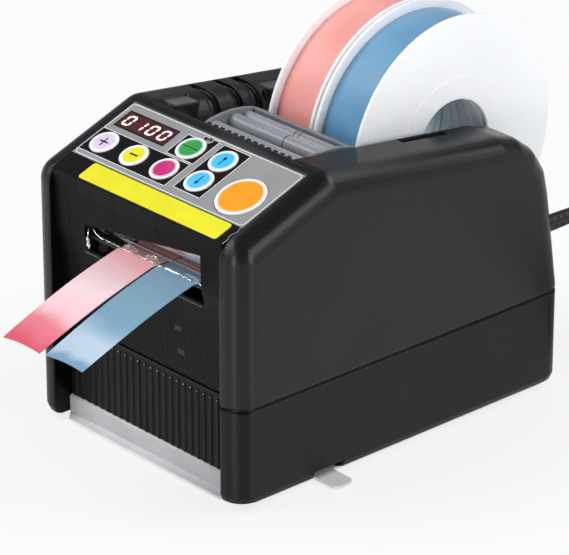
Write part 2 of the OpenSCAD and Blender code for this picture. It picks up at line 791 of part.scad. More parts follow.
// Circuit board with a switch under each key, the display block and the lamp
module control_board() {
  v0 = lip_v + 2.8;
  switch_rise = -board_n - panel_t - key_flange_t - key_travel - 0.3;
  color([0.1, 0.35, 0.15]) placed() on_slope() {
    translate([-front_w / 2 + 1.2, v0, board_n - board_t])
      cube([front_w - 2.4, panel_v1 - 2.5 - v0, board_t]);
    for (k = KEYS) translate([k[0], k[1], board_n]) {
      translate([-3, -3, 0]) cube([6, 6, switch_rise - 0.7]);
      cylinder(h = switch_rise, r = 1.7);
    }
    translate([display_at[0], display_at[1], (board_n - panel_t) / 2])
      cube([display_w - 4, display_h - 1, -board_n - panel_t], center = true);
    translate([led_at[0], led_at[1], board_n]) cylinder(h = 0.3 - board_n, r = led_r);
  }
}
control_board();

// Each ribbon web runs from the underside of its wound pack over the feed roller: the radii
// that its middle keeps there, its fall in degrees, its straight length and where that starts
web_r = wound_r + gap + ribbon_t / 2;
web_lift = feed_r + gap + ribbon_t / 2;
web_far = norm([spool_y - nip_y, spool_z - feed_z]);
web_len = sqrt(web_far * web_far - pow(web_r + web_lift, 2));
web_a = asin((web_r + web_lift) / web_far) - atan((spool_z - feed_z) / (spool_y - nip_y));
web_start = [nip_y + web_lift * sin(web_a), feed_z + web_lift * cos(web_a)];

// Chassis between the pillars: a floor and two side plates that carry the rollers
rod_r = 2.5;
hinge_rod_r = 2;
bush_r = 5;
pinch_axle_r = 2.5;
rod_y = guide_pivot[0] + 5;
chassis_y0 = 18;
chassis_y1 = guide_pivot[0] + 11;
rod_z = web_start[1] - (rod_y - web_start[0]) * tan(web_a) - (rod_r + gap + ribbon_t / 2) / cos(web_a);
motor_y = 28;
motor_shaft_r = 1.5;
cutter_z = motor_z + 0.3;
RODS = [[rod_y, rod_z, rod_r], [chassis_y0 + 3.5, upper_z + 2.8, rod_r],
  [chassis_y1 - 5, upper_z + 4, rod_r],
  [guide_pivot[0], guide_pivot[1], hinge_rod_r]];

module chassis() {
  color([0.7, 0.71, 0.72]) placed() difference() {
    union() {
      translate([chassis_x0 - plate_t, chassis_y0, seam_z])
        cube([chassis_w + 2 * plate_t, chassis_y1 - chassis_y0, plate_t]);
      for (x = [chassis_x0 - plate_t, chassis_x1]) side_slab(x, x + plate_t)
        polygon([[chassis_y0, seam_z], [chassis_y1, seam_z], [chassis_y1, path_z - 16],
          [chassis_y1 - 4, path_z + 2],
          [chassis_y1 - 4, guide_pivot[1] + 5], [chassis_y1 - 17.5, guide_pivot[1] + 5],
            [chassis_y1 - 17.5, path_z + 18],
          [chassis_y1 - 25, path_z + 14], [chassis_y0, path_z + 10]]);
    }
    for (r = RODS) x_rod(-body_w, body_w, r[0], r[1], r[2] + snug);
    x_rod(-body_w, body_w, nip_y, feed_z, bush_r + snug);
    x_rod(-body_w, body_w, nip_y, pinch_z, bush_r + snug);
    x_rod(-body_w, 0, nip_y, motor_z, 4);
    x_rod(0, body_w, motor_y, cutter_z, 4);
  }
}
chassis();

module shaft_bushes() {
  color([0.72, 0.58, 0.3]) placed() for (x = [chassis_x0 - plate_t, chassis_x1]) {
    difference() {
      x_rod(x, x + plate_t, nip_y, feed_z, bush_r);
      x_rod(x - over, x + plate_t + over, nip_y, feed_z, shaft_r + fit);
    }
    difference() {
      x_rod(x, x + plate_t, nip_y, pinch_z, bush_r);
      x_rod(x - over, x + plate_t + over, nip_y, pinch_z, pinch_axle_r + fit);
    }
  }
}
shaft_bushes();

module cross_rods() {
  color([0.75, 0.75, 0.77]) placed() for (r = RODS)
    x_rod(chassis_x0 - plate_t, chassis_x1 + plate_t, r[0], r[1], r[2]);
}
cross_rods();

gear_x = chassis_x0 - plate_t - 2;

module feed_shaft() {
  color([0.75, 0.75, 0.77]) placed()
    x_rod(gear_x - gear_w - 0.4, chassis_x1 + plate_t + 0.4, nip_y, feed_z, shaft_r);
}
feed_shaft();

module feed_roller() {
  color([0.2, 0.2, 0.2]) placed() difference() {
    x_rod(chassis_x0 + 1, chassis_x1 - 1, nip_y, feed_z, feed_r);
    x_rod(chassis_x0, chassis_x1, nip_y, feed_z, shaft_r + snug);
  }
}
feed_roller();

function gear_outline(teeth) = let (step = 360 / teeth, r = gear_m * teeth / 2)
  [for (i = [0 : teeth - 1], k = [-0.32, -0.1, 0.1, 0.32])
    let (a = step * (i + k), q = abs(k) > 0.2 ? r - 1.15 * gear_m : r + 0.85 * gear_m) [q * cos(a),
      q * sin(a)]];

// Spur gear on the X axis; turn gives the angle of one tooth above the Y axis
module gear(x, y, z, teeth, turn, bore_r) {
  translate([x, y, z]) rotate([90, 0, 90]) rotate(turn) linear_extrude(gear_w) difference() {
    polygon(gear_outline(teeth));
    circle(r = bore_r);
  }
}

module feed_gear() {
  color([0.9, 0.9, 0.88]) placed()
    gear(gear_x - gear_w, nip_y, feed_z, feed_teeth, -90 + 180 / feed_teeth, shaft_r + snug);
}
feed_gear();

// Gear motor with its shaft; side is the plate face that it is screwed to
module gear_motor(side, x_far, shaft_end, y, z) {
  placed() {
    x_rod(min(side, x_far), max(side, x_far), y, z, motor_r);
    x_rod(min(side, shaft_end), max(side, shaft_end), y, z, motor_shaft_r);
  }
}

module feed_motor() {
  color([0.55, 0.55, 0.57])
    gear_motor(chassis_x0, chassis_x0 + 30, gear_x - gear_w - 0.4, nip_y, motor_z);
}
feed_motor();

module motor_pinion() {
  color([0.9, 0.9, 0.88]) placed()
    gear(gear_x - gear_w, nip_y, motor_z, pinion_teeth, 90, motor_shaft_r + fit);
}
motor_pinion();

module pinch_roller() {
  color([0.85, 0.83, 0.78]) placed() {
    x_rod(chassis_x0 + 1, chassis_x1 - 1, nip_y, pinch_z, pinch_r);
    x_rod(chassis_x0 - plate_t, chassis_x1 + plate_t, nip_y, pinch_z, pinch_axle_r);
  }
}
pinch_roller();

module fixed_blade() {
  color([0.8, 0.8, 0.82]) placed() translate([chassis_x0, blade_y + blade_t + 0.2, path_z - 1.8])
    cube([chassis_x1 - chassis_x0, 17, 1.5]);
}
fixed_blade();

// Moving knife: its lower edge slants across the tape
bar_z = path_z + blade_travel + 1;
bar_h = 5;
edge_z = path_z + 3.5;
rack_x = chassis_x1 + plate_t + 1.5;
rack_back = motor_y - cutter_pitch_r - 1.15 * gear_m;
leg_front = blade_y + blade_t + 1.2;
left_leg_x = chassis_x0 - plate_t - 5;
leg_w = 3.5;
guide_z0 = path_z - 13;
guide_z1 = bar_z - blade_travel - 0.5;

module moving_blade() {
  color([0.85, 0.85, 0.87]) placed() translate([0, blade_y + blade_t, 0]) rotate([90, 0, 0])
    linear_extrude(blade_t)
    polygon([[outlet_x0, edge_z], [outlet_x1 + 2, edge_z + 2], [outlet_x1 + 2, bar_z + bar_h],
      [outlet_x0, bar_z + bar_h]]);
}
moving_blade();

module blade_carrier() {
  rack_pitch = PI * gear_m;
  y0 = blade_y + blade_t;
  color([0.35, 0.36, 0.38]) placed() {
    translate([left_leg_x, y0, bar_z]) cube([rack_x + gear_w - left_leg_x, 2.6, bar_h]);
    translate([left_leg_x, y0, guide_z0 - 2]) cube([leg_w, 4, bar_z + bar_h - guide_z0 + 2]);
    side_slab(rack_x, rack_x + gear_w) {
      polygon([[leg_front, seam_z + blade_travel + 1], [rack_back, seam_z + blade_travel + 1],
        [rack_back, bar_z + bar_h], [leg_front, bar_z + bar_h]]);
      for (i = [-3 : 4]) let (zc = cutter_z + (i + 0.5) * rack_pitch)
        polygon([[rack_back - 0.1, zc - 0.32 * rack_pitch],
          [rack_back + 2 * gear_m, zc - 0.1 * rack_pitch],
          [rack_back + 2 * gear_m, zc + 0.1 * rack_pitch], [rack_back - 0.1, zc + 0.32 * rack_pitch]]);
    }
  }
}
blade_carrier();

// Two sleeves on the chassis plates that guide the legs of the carrier
module blade_guides() {
  play = 0.25;
  skin = 1.2;
  y0 = blade_y + blade_t;
  right_x = chassis_x1 + plate_t;
  left_x = chassis_x0 - plate_t;
  color([0.85, 0.85, 0.83]) placed() {
    difference() {
      translate([right_x, leg_front - play - skin, guide_z0])
        cube([rack_x + gear_w + play + skin - right_x, rack_back - leg_front + 2 * play + 2.5 * skin,
          guide_z1 - guide_z0]);
      translate([rack_x - play, leg_front - play, 0])
        cube([gear_w + 2 * play, rack_back - leg_front + 2 * play, body_w]);
    }
    difference() {
      translate([left_leg_x - play - skin, y0 - play - 0.6, guide_z0])
        cube([left_x - left_leg_x + play + skin, 8, guide_z1 - guide_z0]);
      translate([left_leg_x - play, y0 - play, 0]) cube([leg_w + 2 * play, 4 + 2 * play, body_w]);
    }
  }
}
blade_guides();

module cutter_motor() {
  color([0.55, 0.55, 0.57])
    gear_motor(chassis_x1, chassis_x1 - 30, rack_x + gear_w + 0.4, motor_y, cutter_z);
}
cutter_motor();

module cutter_pinion() {
  color([0.9, 0.9, 0.88]) placed()
    gear(rack_x, motor_y, cutter_z, cutter_teeth, 180, motor_shaft_r + fit);
}
cutter_pinion();

// Hinged guide unit between the deck and the spools: two cheeks, three rollers and two bars
front_roller = [guide_y0 + 7.1, guide_top - 5.8, roller_r - 0.2];
middle_roller = [guide_y1 - 16.2, guide_top - 1.1 - roller_r, roller_r - 0.4];
rear_roller = [guide_y1 - 8.4, guide_top - 1.5 - roller_r, roller_r - 0.9];
GUIDE_ROLLERS = [front_roller, middle_roller, rear_roller];
guide_axle_r = 1.2;

module guide_frame() {
  in0 = guide_x0 + cheek_t;
  in1 = guide_x1 - cheek_t;
  low = guide_pivot[1] - 3.5;
  color([0.3, 0.3, 0.31]) placed() difference() {
    union() {
      for (x = [guide_x0, in1]) side_slab(x, x + cheek_t)
        polygon([[guide_y0, low], [guide_y0, guide_top - 5], [guide_y0 + 2.5, guide_top - 2.5],
          [guide_y0 + 6.5, guide_top - 1],
          [guide_y0 + 12.5, guide_top - 0.2], [guide_y1 - 16, guide_top], [guide_y1 - 9, guide_top - 0.8],
          [guide_y1 - 4, guide_top - 2.1], [guide_y1, guide_top - 3.7], [guide_y1, guide_top - 11],
            [guide_y1 - 5, low]]);
      side_slab(in0 - over, in1 + over) {
        translate([guide_y0 + 10.5, low + 0.5]) square([guide_l - 15.5, 1.5]);
        translate([guide_y1 - 4.7, guide_top - 8]) square([1.2, 5.8]);
        translate([guide_y1 - 2, guide_top - 9]) square([2, 5.3]);
        translate([guide_y0 + 0.5, guide_top - 8]) square([1.5, 4.5]);
      }
    }
    x_rod(-body_w, body_w, guide_pivot[0], guide_pivot[1], hinge_rod_r + fit);
    for (g = GUIDE_ROLLERS) x_rod(-body_w, body_w, g[0], g[1], guide_axle_r + fit);
  }
}
guide_frame();

module guide_roller(g) {
  color([0.5, 0.5, 0.51]) placed() {
    x_rod(guide_x0 + cheek_t + gap, guide_x1 - cheek_t - gap, g[0], g[1], g[2]);
    x_rod(guide_x0, guide_x1, g[0], g[1], guide_axle_r);
  }
}

module guide_roller_front() {
  guide_roller(front_roller);
}
guide_roller_front();

module guide_roller_middle() {
  guide_roller(middle_roller);
}
guide_roller_middle();

module guide_roller_rear() {
  guide_roller(rear_roller);
}
guide_roller_rear();

// Cradle under the spools: a floor, four bearing ears and a guide plate on each side of the spools
cradle_axle_r = 2.5;
ear_x = wall_in - 2;
ear_t = 2.5;
guide_gap = 0.6;

module spool_cradle() {
  left_x = spool_x - spool_w / 2 - guide_gap - plate_t;
  right_x = spool_x1 + spool_w / 2 + guide_gap;
  ROLLERS = [spool_y - carry_half, spool_y + carry_half];
  color([0.2, 0.2, 0.21]) placed() difference() {
    union() {
      translate([-ear_x, ROLLERS[0] - 10, seam_z]) cube([2 * ear_x, 2 * carry_half + 17, plate_t]);
      for (x = [-ear_x, ear_x - ear_t], y = ROLLERS) side_slab(x, x + ear_t)
        polygon([[y - 5, seam_z], [y + 5, seam_z], [y + 5, carry_z + 3], [y + 3, carry_z + 5],
          [y - 3, carry_z + 5], [y - 5, carry_z + 3]]);
      for (x = [left_x, right_x]) side_slab(x, x + plate_t)
        polygon([[ROLLERS[0] - 10, seam_z], [ROLLERS[1] + 7, seam_z], [ROLLERS[1] + 5, carry_z + 12],
          [spool_y + 18, carry_z + 26],
          [spool_y - 18, carry_z + 26], [ROLLERS[0] - 10, carry_z + 12]]);
    }
    for (y = ROLLERS) {
      x_rod(-ear_x - over, ear_x + over, y, carry_z, cradle_axle_r + fit);
      x_rod(-ear_x + ear_t + 0.5, ear_x - ear_t - 0.5, y, carry_z, carry_r + 0.6);
    }
  }
}
spool_cradle();

module cradle_roller(y) {
  color([0.75, 0.75, 0.74]) placed() {
    x_rod(-ear_x + ear_t + 1, ear_x - ear_t - 1, y, carry_z, carry_r);
    x_rod(-ear_x, ear_x, y, carry_z, cradle_axle_r);
  }
}

module cradle_roller_front() {
  cradle_roller(spool_y - carry_half);
}
cradle_roller_front();

module cradle_roller_rear() {
  cradle_roller(spool_y + carry_half);
}
cradle_roller_rear();

core_r = hub_r + 5;
ring_rise = 0.4;

// Spool: two flanges with a raised ring round the hub hole, on a hollow core
module spool(x) {
  w = spool_w / 2;
  f = w - ring_rise;
  side = [[core_r, f - flange_t], [flange_d / 2, f - flange_t], [flange_d / 2, f], [ring_r, f],
    [ring_r, w], [hub_r, w]];
  other = [for (i = [len(side) - 1 : -1 : 0]) [side[i][0], -side[i][1]]];
  placed() translate([x, spool_y, spool_z]) rotate([0, 90, 0]) rotate_extrude($fn = 96)
    polygon(concat(side, other));
}

module spool_left() {
  color([0.95, 0.94, 0.95]) spool(spool_x);
}
spool_left();

module spool_right() {
  color([0.95, 0.94, 0.95]) spool(spool_x1);
}
spool_right();

module wound(x) {
  placed() translate([x - ribbon_w / 2, spool_y, spool_z]) rotate([0, 90, 0]) difference() {
    cylinder(h = ribbon_w, r = wound_r, $fn = 96);
    translate([0, 0, -over]) cylinder(h = ribbon_w + 2 * over, r = core_r + snug, $fn = 96);
  }
}

module wound_pink() {
  color([0.93, 0.61, 0.57]) wound(spool_x);
}
wound_pink();

module wound_blue() {
  color([0.33, 0.57, 0.72]) wound(spool_x1);
}
wound_blue();

module web_slice(x, s) {
  translate([x - ribbon_w / 2, web_start[0] + s * cos(web_a), web_start[1] - s * sin(web_a)])
    rotate([-web_a, 0, 0]) translate([0, 0, -ribbon_t / 2]) cube([ribbon_w, snug, ribbon_t]);
}

// One web, from the cutting line to its spool; it moves over to the spool's own place behind the rollers
module web(x_out, x_in) {
  straight = web_len * 0.62;
  y0 = blade_y + blade_t + 1.6;
  translate([x_out - ribbon_w / 2, y0, path_z]) cube([ribbon_w, nip_y - y0, ribbon_t]);
  hull() {
    translate([x_out - ribbon_w / 2, nip_y - snug, path_z]) cube([ribbon_w, snug, ribbon_t]);
    web_slice(x_out, 0);
  }
  hull() {
    web_slice(x_out, 0);
    web_slice(x_in, straight);
  }
  hull() {
    web_slice(x_in, straight);
    web_slice(x_in, web_len);
  }
}

module ribbon_webs() {
  color([0.7, 0.6, 0.68]) placed() {
    web(ribbon_x0, spool_x);
    web(ribbon_x1, spool_x1);
  }
}
ribbon_webs();

switch_w = 13;
switch_h = 19;
switch_at = [-40, 27];
rocker_w = 9;
rocker_h = 14;
rocker_tilt = 8;
rocker_y = body_d - 0.5;
rocker_pin_r = 1;

module power_switch() {
  color([0.08, 0.08, 0.08]) placed() translate([switch_at[0], 0, switch_at[1]]) difference() {
    union() {
      translate([-switch_w / 2 + 0.1, body_d - 16, -switch_h / 2 + 0.1])
        cube([switch_w - 0.2, 16, switch_h - 0.2]);
      translate([-switch_w / 2 - 1, body_d, -switch_h / 2 - 1]) cube([switch_w + 2, 1.5, switch_h + 2]);
    }
    translate([-rocker_w / 2 - gap, body_d - 5, -rocker_h / 2 - 0.9])
      cube([rocker_w + 2 * gap, 10, rocker_h + 1.8]);
    x_rod(-rocker_w / 2 - 1.2, rocker_w / 2 + 1.2, rocker_y, 0, rocker_pin_r + fit);
  }
}
power_switch();

module power_rocker() {
  h = rocker_h / 2;
  color([0.75, 0.08, 0.06]) placed() translate([switch_at[0], rocker_y, switch_at[1]]) {
    rotate([-rocker_tilt, 0, 0]) side_slab(-rocker_w / 2, rocker_w / 2)
      polygon([[-1.5, -h], [2.9, -h], [2, 0], [2.9, h], [-1.5, h], [-2.6, 0]]);
    x_rod(-rocker_w / 2 - 1, rocker_w / 2 + 1, 0, 0, rocker_pin_r);
  }
}
power_rocker();

module power_board() {
  z = foot_h + base_t;
  color([0.15, 0.4, 0.2]) placed() translate([-38, 60, 0]) {
    for (x = [5, 81], y = [5, 85]) translate([x, y, z]) cylinder(h = 6, r = 2.5);
    translate([0, 0, z + 6]) cube([86, 90, 1.6]);
    translate([12, 14, z + 7.5]) cube([38, 32, 25]);
    translate([60, 12, z + 7.5]) cube([18, 10, 12]);
    for (y = [56, 72]) translate([22, y, z + 7.5]) cylinder(h = 20, r = 6);
    translate([52, 50, z + 7.5]) cube([3, 32, 22]);
  }
}
power_board();

module strain_relief() {
  flange_r = gland_r + 1.5;
  face_y = body_d - rear_lean * (gland_z - flange_r - upper_z) / (corner_z - upper_z) + 2 * snug;
  color([0.1, 0.1, 0.1]) placed() translate([gland_x, 0, gland_z]) rotate([-90, 0, 0]) {
    translate([0, 0, body_d - 2 * edge_r]) cylinder(h = face_y - body_d + 2 * edge_r, r = gland_r - snug);
    translate([0, 0, face_y]) cylinder(h = 2, r = flange_r);
    translate([0, 0, face_y]) cylinder(h = gland_end_y - face_y, r1 = cord_d / 2 + 1.5, r2 = gland_tip_r);
  }
}
strain_relief();

// Tube along points that keep to one plane of constant x
module tube(route) {
  n = 16;
  last = len(route) - 1;
  points = [for (i = [0 : last]) let (d = route[min(i + 1, last)] - route[max(i - 1, 0)], t = d / norm(d))
    for (k = [0 : n - 1]) let (a = 360 * k / n)
      route[i] + cord_d / 2 * [cos(a), -t[2] * sin(a), t[1] * sin(a)]];
  faces = concat([[for (k = [0 : n - 1]) k]], [[for (k = [n - 1 : -1 : 0]) last * n + k]],
    [for (i = [0 : last - 1], k = [0 : n - 1]) let (q = (k + 1) % n) [i * n + k, (i + 1) * n + k,
      (i + 1) * n + q, i * n + q]]);
  polyhedron(points, faces);
}

module power_cord() {
  color([0.08, 0.08, 0.08]) placed() {
    tube(CORD_ROUTE);
    tube(PLUG_ROUTE);
  }
}
power_cord();

coil_in = coil_r - coil_turns_wide * cord_d / 2;
coil_out = coil_r + coil_turns_wide * cord_d / 2;
coil_top = coil_turns_high * cord_d;

module cord_coil() {
  color([0.08, 0.08, 0.08]) placed() translate([coil_x, coil_y, 0]) rotate_extrude()
    translate([coil_in + 2, 2]) offset(2) square([coil_out - coil_in - 4, coil_top - 4]);
}
cord_coil();

module cord_tie() {
  w = 8;
  t = 0.8;
  color([0.15, 0.15, 0.15]) placed() translate([coil_x, coil_y, 0]) difference() {
    translate([coil_in - t, -w / 2, 0]) cube([coil_out - coil_in + 2 * t, w, coil_top + t]);
    translate([0, 0, -over]) difference() {
      cylinder(h = coil_top + over, r = coil_out);
      translate([0, 0, -over]) cylinder(h = coil_top + 3 * over, r = coil_in);
    }
  }
}
cord_tie();

plug_end = PLUG_ROUTE[len(PLUG_ROUTE) - 1];
plug_len = 36;
plug_neck = 14;
plug_r = 8;
plug_half = 4;

module plug_body() {
  color([0.08, 0.08, 0.08]) placed() translate(plug_end) rotate([-90, 0, 0]) hull() {
    cylinder(h = 1, r = cord_d / 2 + 1, $fn = hull_fn);
    for (x = [-plug_half, plug_half]) translate([x, 0, plug_neck])
      cylinder(h = plug_len - plug_neck, r = plug_r, $fn = hull_fn);
  }
}
plug_body();

module plug_pins() {
  color([0.8, 0.75, 0.55]) placed() translate(plug_end + [0, plug_len, 0])
    for (x = [-6.35, 6.35]) translate([x - 0.75, 0, -3.1]) cube([1.5, 16, 6.2]);
}
plug_pins();
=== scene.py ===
import math

import bmesh
import bpy
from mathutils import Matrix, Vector
from mathutils.geometry import tessellate_polygon


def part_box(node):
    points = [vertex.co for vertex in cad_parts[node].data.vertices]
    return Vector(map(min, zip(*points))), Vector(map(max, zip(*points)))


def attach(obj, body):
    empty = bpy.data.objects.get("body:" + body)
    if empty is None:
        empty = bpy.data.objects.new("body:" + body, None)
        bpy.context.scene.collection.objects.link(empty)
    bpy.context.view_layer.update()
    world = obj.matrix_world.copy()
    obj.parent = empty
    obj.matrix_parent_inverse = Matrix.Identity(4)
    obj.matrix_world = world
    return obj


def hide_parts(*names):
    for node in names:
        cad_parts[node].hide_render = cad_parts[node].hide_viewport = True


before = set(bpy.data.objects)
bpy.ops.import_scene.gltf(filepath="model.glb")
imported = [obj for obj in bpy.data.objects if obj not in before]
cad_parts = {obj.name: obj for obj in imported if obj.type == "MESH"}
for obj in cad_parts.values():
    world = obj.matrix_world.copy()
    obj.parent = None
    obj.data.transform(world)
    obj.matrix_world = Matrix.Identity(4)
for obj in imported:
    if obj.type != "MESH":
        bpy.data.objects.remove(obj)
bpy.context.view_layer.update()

# The CAD's own millimetres: front of the housing on y = 0, moved back by Y_MID; the strain relief ends at y = 226
Y_MID = 226 - 1000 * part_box("strain_relief")[1][1]
# keypad's slope and its lower edge, height of the tape's path, and the falling tops of the side walls from the crest
SLOPE = math.radians(20.4)
FRONT_Z = 124.3
PATH_Z = 98.0
TOP_FALL = math.radians(7)
DECK_Y, CREST_Z = 55.30, 144.87


def P(x, y, z):
    """A point in metres in the frame, from millimetres counted from the housing's front."""
    return (x / 1000, (y - Y_MID) / 1000, z / 1000)


def S(x, v, n=0.0):
    """A point on the slope: x, distance up the slope, height above it."""
    return P(x, v * math.cos(SLOPE) - n * math.sin(SLOPE), FRONT_Z + v * math.sin(SLOPE) + n * math.cos(SLOPE))


def T(x, y, n):
    """A point on a side wall's top: x, distance along the falling top from its crest, height above it."""
    return P(x, DECK_Y + y * math.cos(TOP_FALL) + n * math.sin(TOP_FALL),
             CREST_Z - y * math.sin(TOP_FALL) + n * math.cos(TOP_FALL))


# ---------------------------------------------------------------- camera
# place, direction and lens of the photograph, as fitted to its edges
camera = bpy.data.objects.new("camera", bpy.data.cameras.new("camera"))
bpy.context.scene.collection.objects.link(camera)
camera.location = P(1189.7, -984.1, 791.7)
camera.rotation_euler = Vector((-0.67602, 0.60991, -0.41357)).to_track_quat("-Z", "Y").to_euler()
camera.data.lens = 245.6
camera.data.sensor_width = 36
camera.data.clip_start = 0.05
camera.data.clip_end = 30
bpy.context.scene.camera = camera


# ---------------------------------------------------------------- mesh helpers
BOX_FACES = [[0, 1, 2, 3], [7, 6, 5, 4], [0, 4, 5, 1], [1, 5, 6, 2], [2, 6, 7, 3], [3, 7, 4, 0]]


def ring_faces(n, rings):
    """Faces round a stack of closed rings of n points each, with both ends closed."""
    faces = [[k * n + i, k * n + (i + 1) % n, (k + 1) * n + (i + 1) % n, (k + 1) * n + i]
             for k in range(rings - 1) for i in range(n)]
    return faces + [list(range(n))[::-1], list(range(n * (rings - 1), n * rings))]


class Shape:
    """Collects points and faces of one piece, in metres."""

    def __init__(self):
        self.points = []
        self.faces = []
        self.marks = []

    def add(self, points, faces, mark=0):
        """Adds faces, numbered from the first of these points; mark is the number of their material."""
        base = len(self.points)
        self.points += [tuple(p) for p in points]
        self.faces += [[base + i for i in f] for f in faces]
        self.marks += [mark] * len(faces)

    def prism(self, outline, lo, hi, place, mark=0):
        """Outline extruded from lo to hi."""
        self.add([place(x, y, h) for h in (lo, hi) for x, y in outline], ring_faces(len(outline), 2), mark)

    def plate(self, outline, holes, lo, hi, place, mark=0):
        """Outline with holes, extruded from lo to hi; its underside, which lies on something, stays open."""
        rings = [outline] + [hole[::-1] for hole in holes]
        flat = [q for ring in rings for q in ring]
        n = len(flat)
        faces = [list(f) for f in tessellate_polygon([[Vector((x, y, 0)) for x, y in ring] for ring in rings])]
        base = 0
        for ring in rings:
            m = len(ring)
            faces += [[n + base + i, n + base + (i + 1) % m, base + (i + 1) % m, base + i] for i in range(m)]
            base += m
        self.add([place(x, y, hi) for x, y in flat] + [place(x, y, lo) for x, y in flat], faces, mark)

    def tube(self, line, r, mark=0, sides=8):
        """Round wire of radius r along a line of points, all in metres, with closed ends."""
        pts = [Vector(q) for q in line]
        rings = []
        side = None
        for i, q in enumerate(pts):
            t = (pts[min(i + 1, len(pts) - 1)] - pts[max(i - 1, 0)]).normalized()
            if side is None:
                side = t.orthogonal().normalized()
            side = (side - t * side.dot(t)).normalized()
            up = t.cross(side)
            rings.append([q + r * (math.cos(a) * side + math.sin(a) * up)
                          for a in (2 * math.pi * k / sides for k in range(sides))])
        self.add([q for ring in rings for q in ring], ring_faces(sides, len(rings)), mark)

    def lathe(self, profile, place, segments=48, mark=0, closed=False):
        """Profile of (radius, height) turned about place's third axis."""
        points, rows = [], []
        for r, h in profile:
            if r < 1e-6:
                rows.append([len(points)] * segments)
                points.append(place(0, 0, h))
            else:
                rows.append(list(range(len(points), len(points) + segments)))
                points += [place(r * math.cos(a), r * math.sin(a), h)
                           for a in (2 * math.pi * k / segments for k in range(segments))]
        faces = []
        pairs = list(zip(rows, rows[1:])) + ([(rows[-1], rows[0])] if closed else [])
        for low, high in pairs:
            for k in range(segments):
                q = (k + 1) % segments
                face = [low[k], low[q], high[q], high[k]]
                face = [v for i, v in enumerate(face) if v not in face[:i]]
                if len(face) > 2:
                    faces.append(face)
        self.add(points, faces, mark)

    def make(self, name, body, materials, replaces=(), angle=35):
        """Object of these points and faces, edges sharper than angle kept sharp; rides on body."""
        mesh = bpy.data.meshes.new(name)
        mesh.from_pydata(self.points, [], self.faces)
        bm = bmesh.new()
        bm.from_mesh(mesh)
        bm.faces.ensure_lookup_table()
        for face, mark in zip(bm.faces, self.marks):
            face.material_index = mark
        bmesh.ops.remove_doubles(bm, verts=bm.verts, dist=1e-7)
        bmesh.ops.recalc_face_normals(bm, faces=bm.faces)
        bm.to_mesh(mesh)
        bm.free()
        for material in materials if isinstance(materials, (list, tuple)) else [materials]:
            mesh.materials.append(material)
        mesh.polygons.foreach_set("use_smooth", [True] * len(mesh.polygons))
        mesh.set_sharp_from_angle(angle=math.radians(angle))
        obj = bpy.data.objects.new(name, mesh)
        bpy.context.scene.collection.objects.link(obj)
        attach(obj, body)
        if replaces:
            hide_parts(*replaces)
        return obj


def shrink(outline, d):
    """Outline moved inwards by d; its points run anticlockwise."""
    n = len(outline)
    out = []
    for i in range(n):
        a, b, c = Vector(outline[i - 1]), Vector(outline[i]), Vector(outline[(i + 1) % n])
        e, f = (b - a).normalized(), (c - b).normalized()
        na, nb = Vector((-e.y, e.x)), Vector((-f.y, f.x))
        k = na + nb
        m = k / max(k.dot(na), 0.2)
        out.append((b + m * d)[:])
    return out


def circle(x, y, r, n=48):
    """Outline of n points round x, y."""
    return [(x + r * math.cos(a), y + r * math.sin(a)) for a in (2 * math.pi * k / n for k in range(n))]


def rounded(x0, y0, x1, y1, r, n=6):
    """Outline of a rectangle with rounded corners of n + 1 points each."""
    out = []
    for cx, cy, a0 in ((x1 - r, y0 + r, -90), (x1 - r, y1 - r, 0), (x0 + r, y1 - r, 90), (x0 + r, y0 + r, 180)):
        out += [(cx + r * math.cos(math.radians(a0 + 90 * k / n)), cy + r * math.sin(math.radians(a0 + 90 * k / n)))
                for k in range(n + 1)]
    return out


def smooth_path(points, steps):
    """Catmull-Rom curve through the points."""
    pts = [Vector(p) for p in points]
    out = []
    for i in range(len(pts) - 1):
        a, b, c, d = pts[max(i - 1, 0)], pts[i], pts[i + 1], pts[min(i + 2, len(pts) - 1)]
        for k in range(steps):
            t = k / steps
            out.append(0.5 * (2 * b + (c - a) * t + (2 * a - 5 * b + 4 * c - d) * t * t
                              + (3 * b - a - 3 * c + d) * t ** 3))
    return out + [pts[-1]]


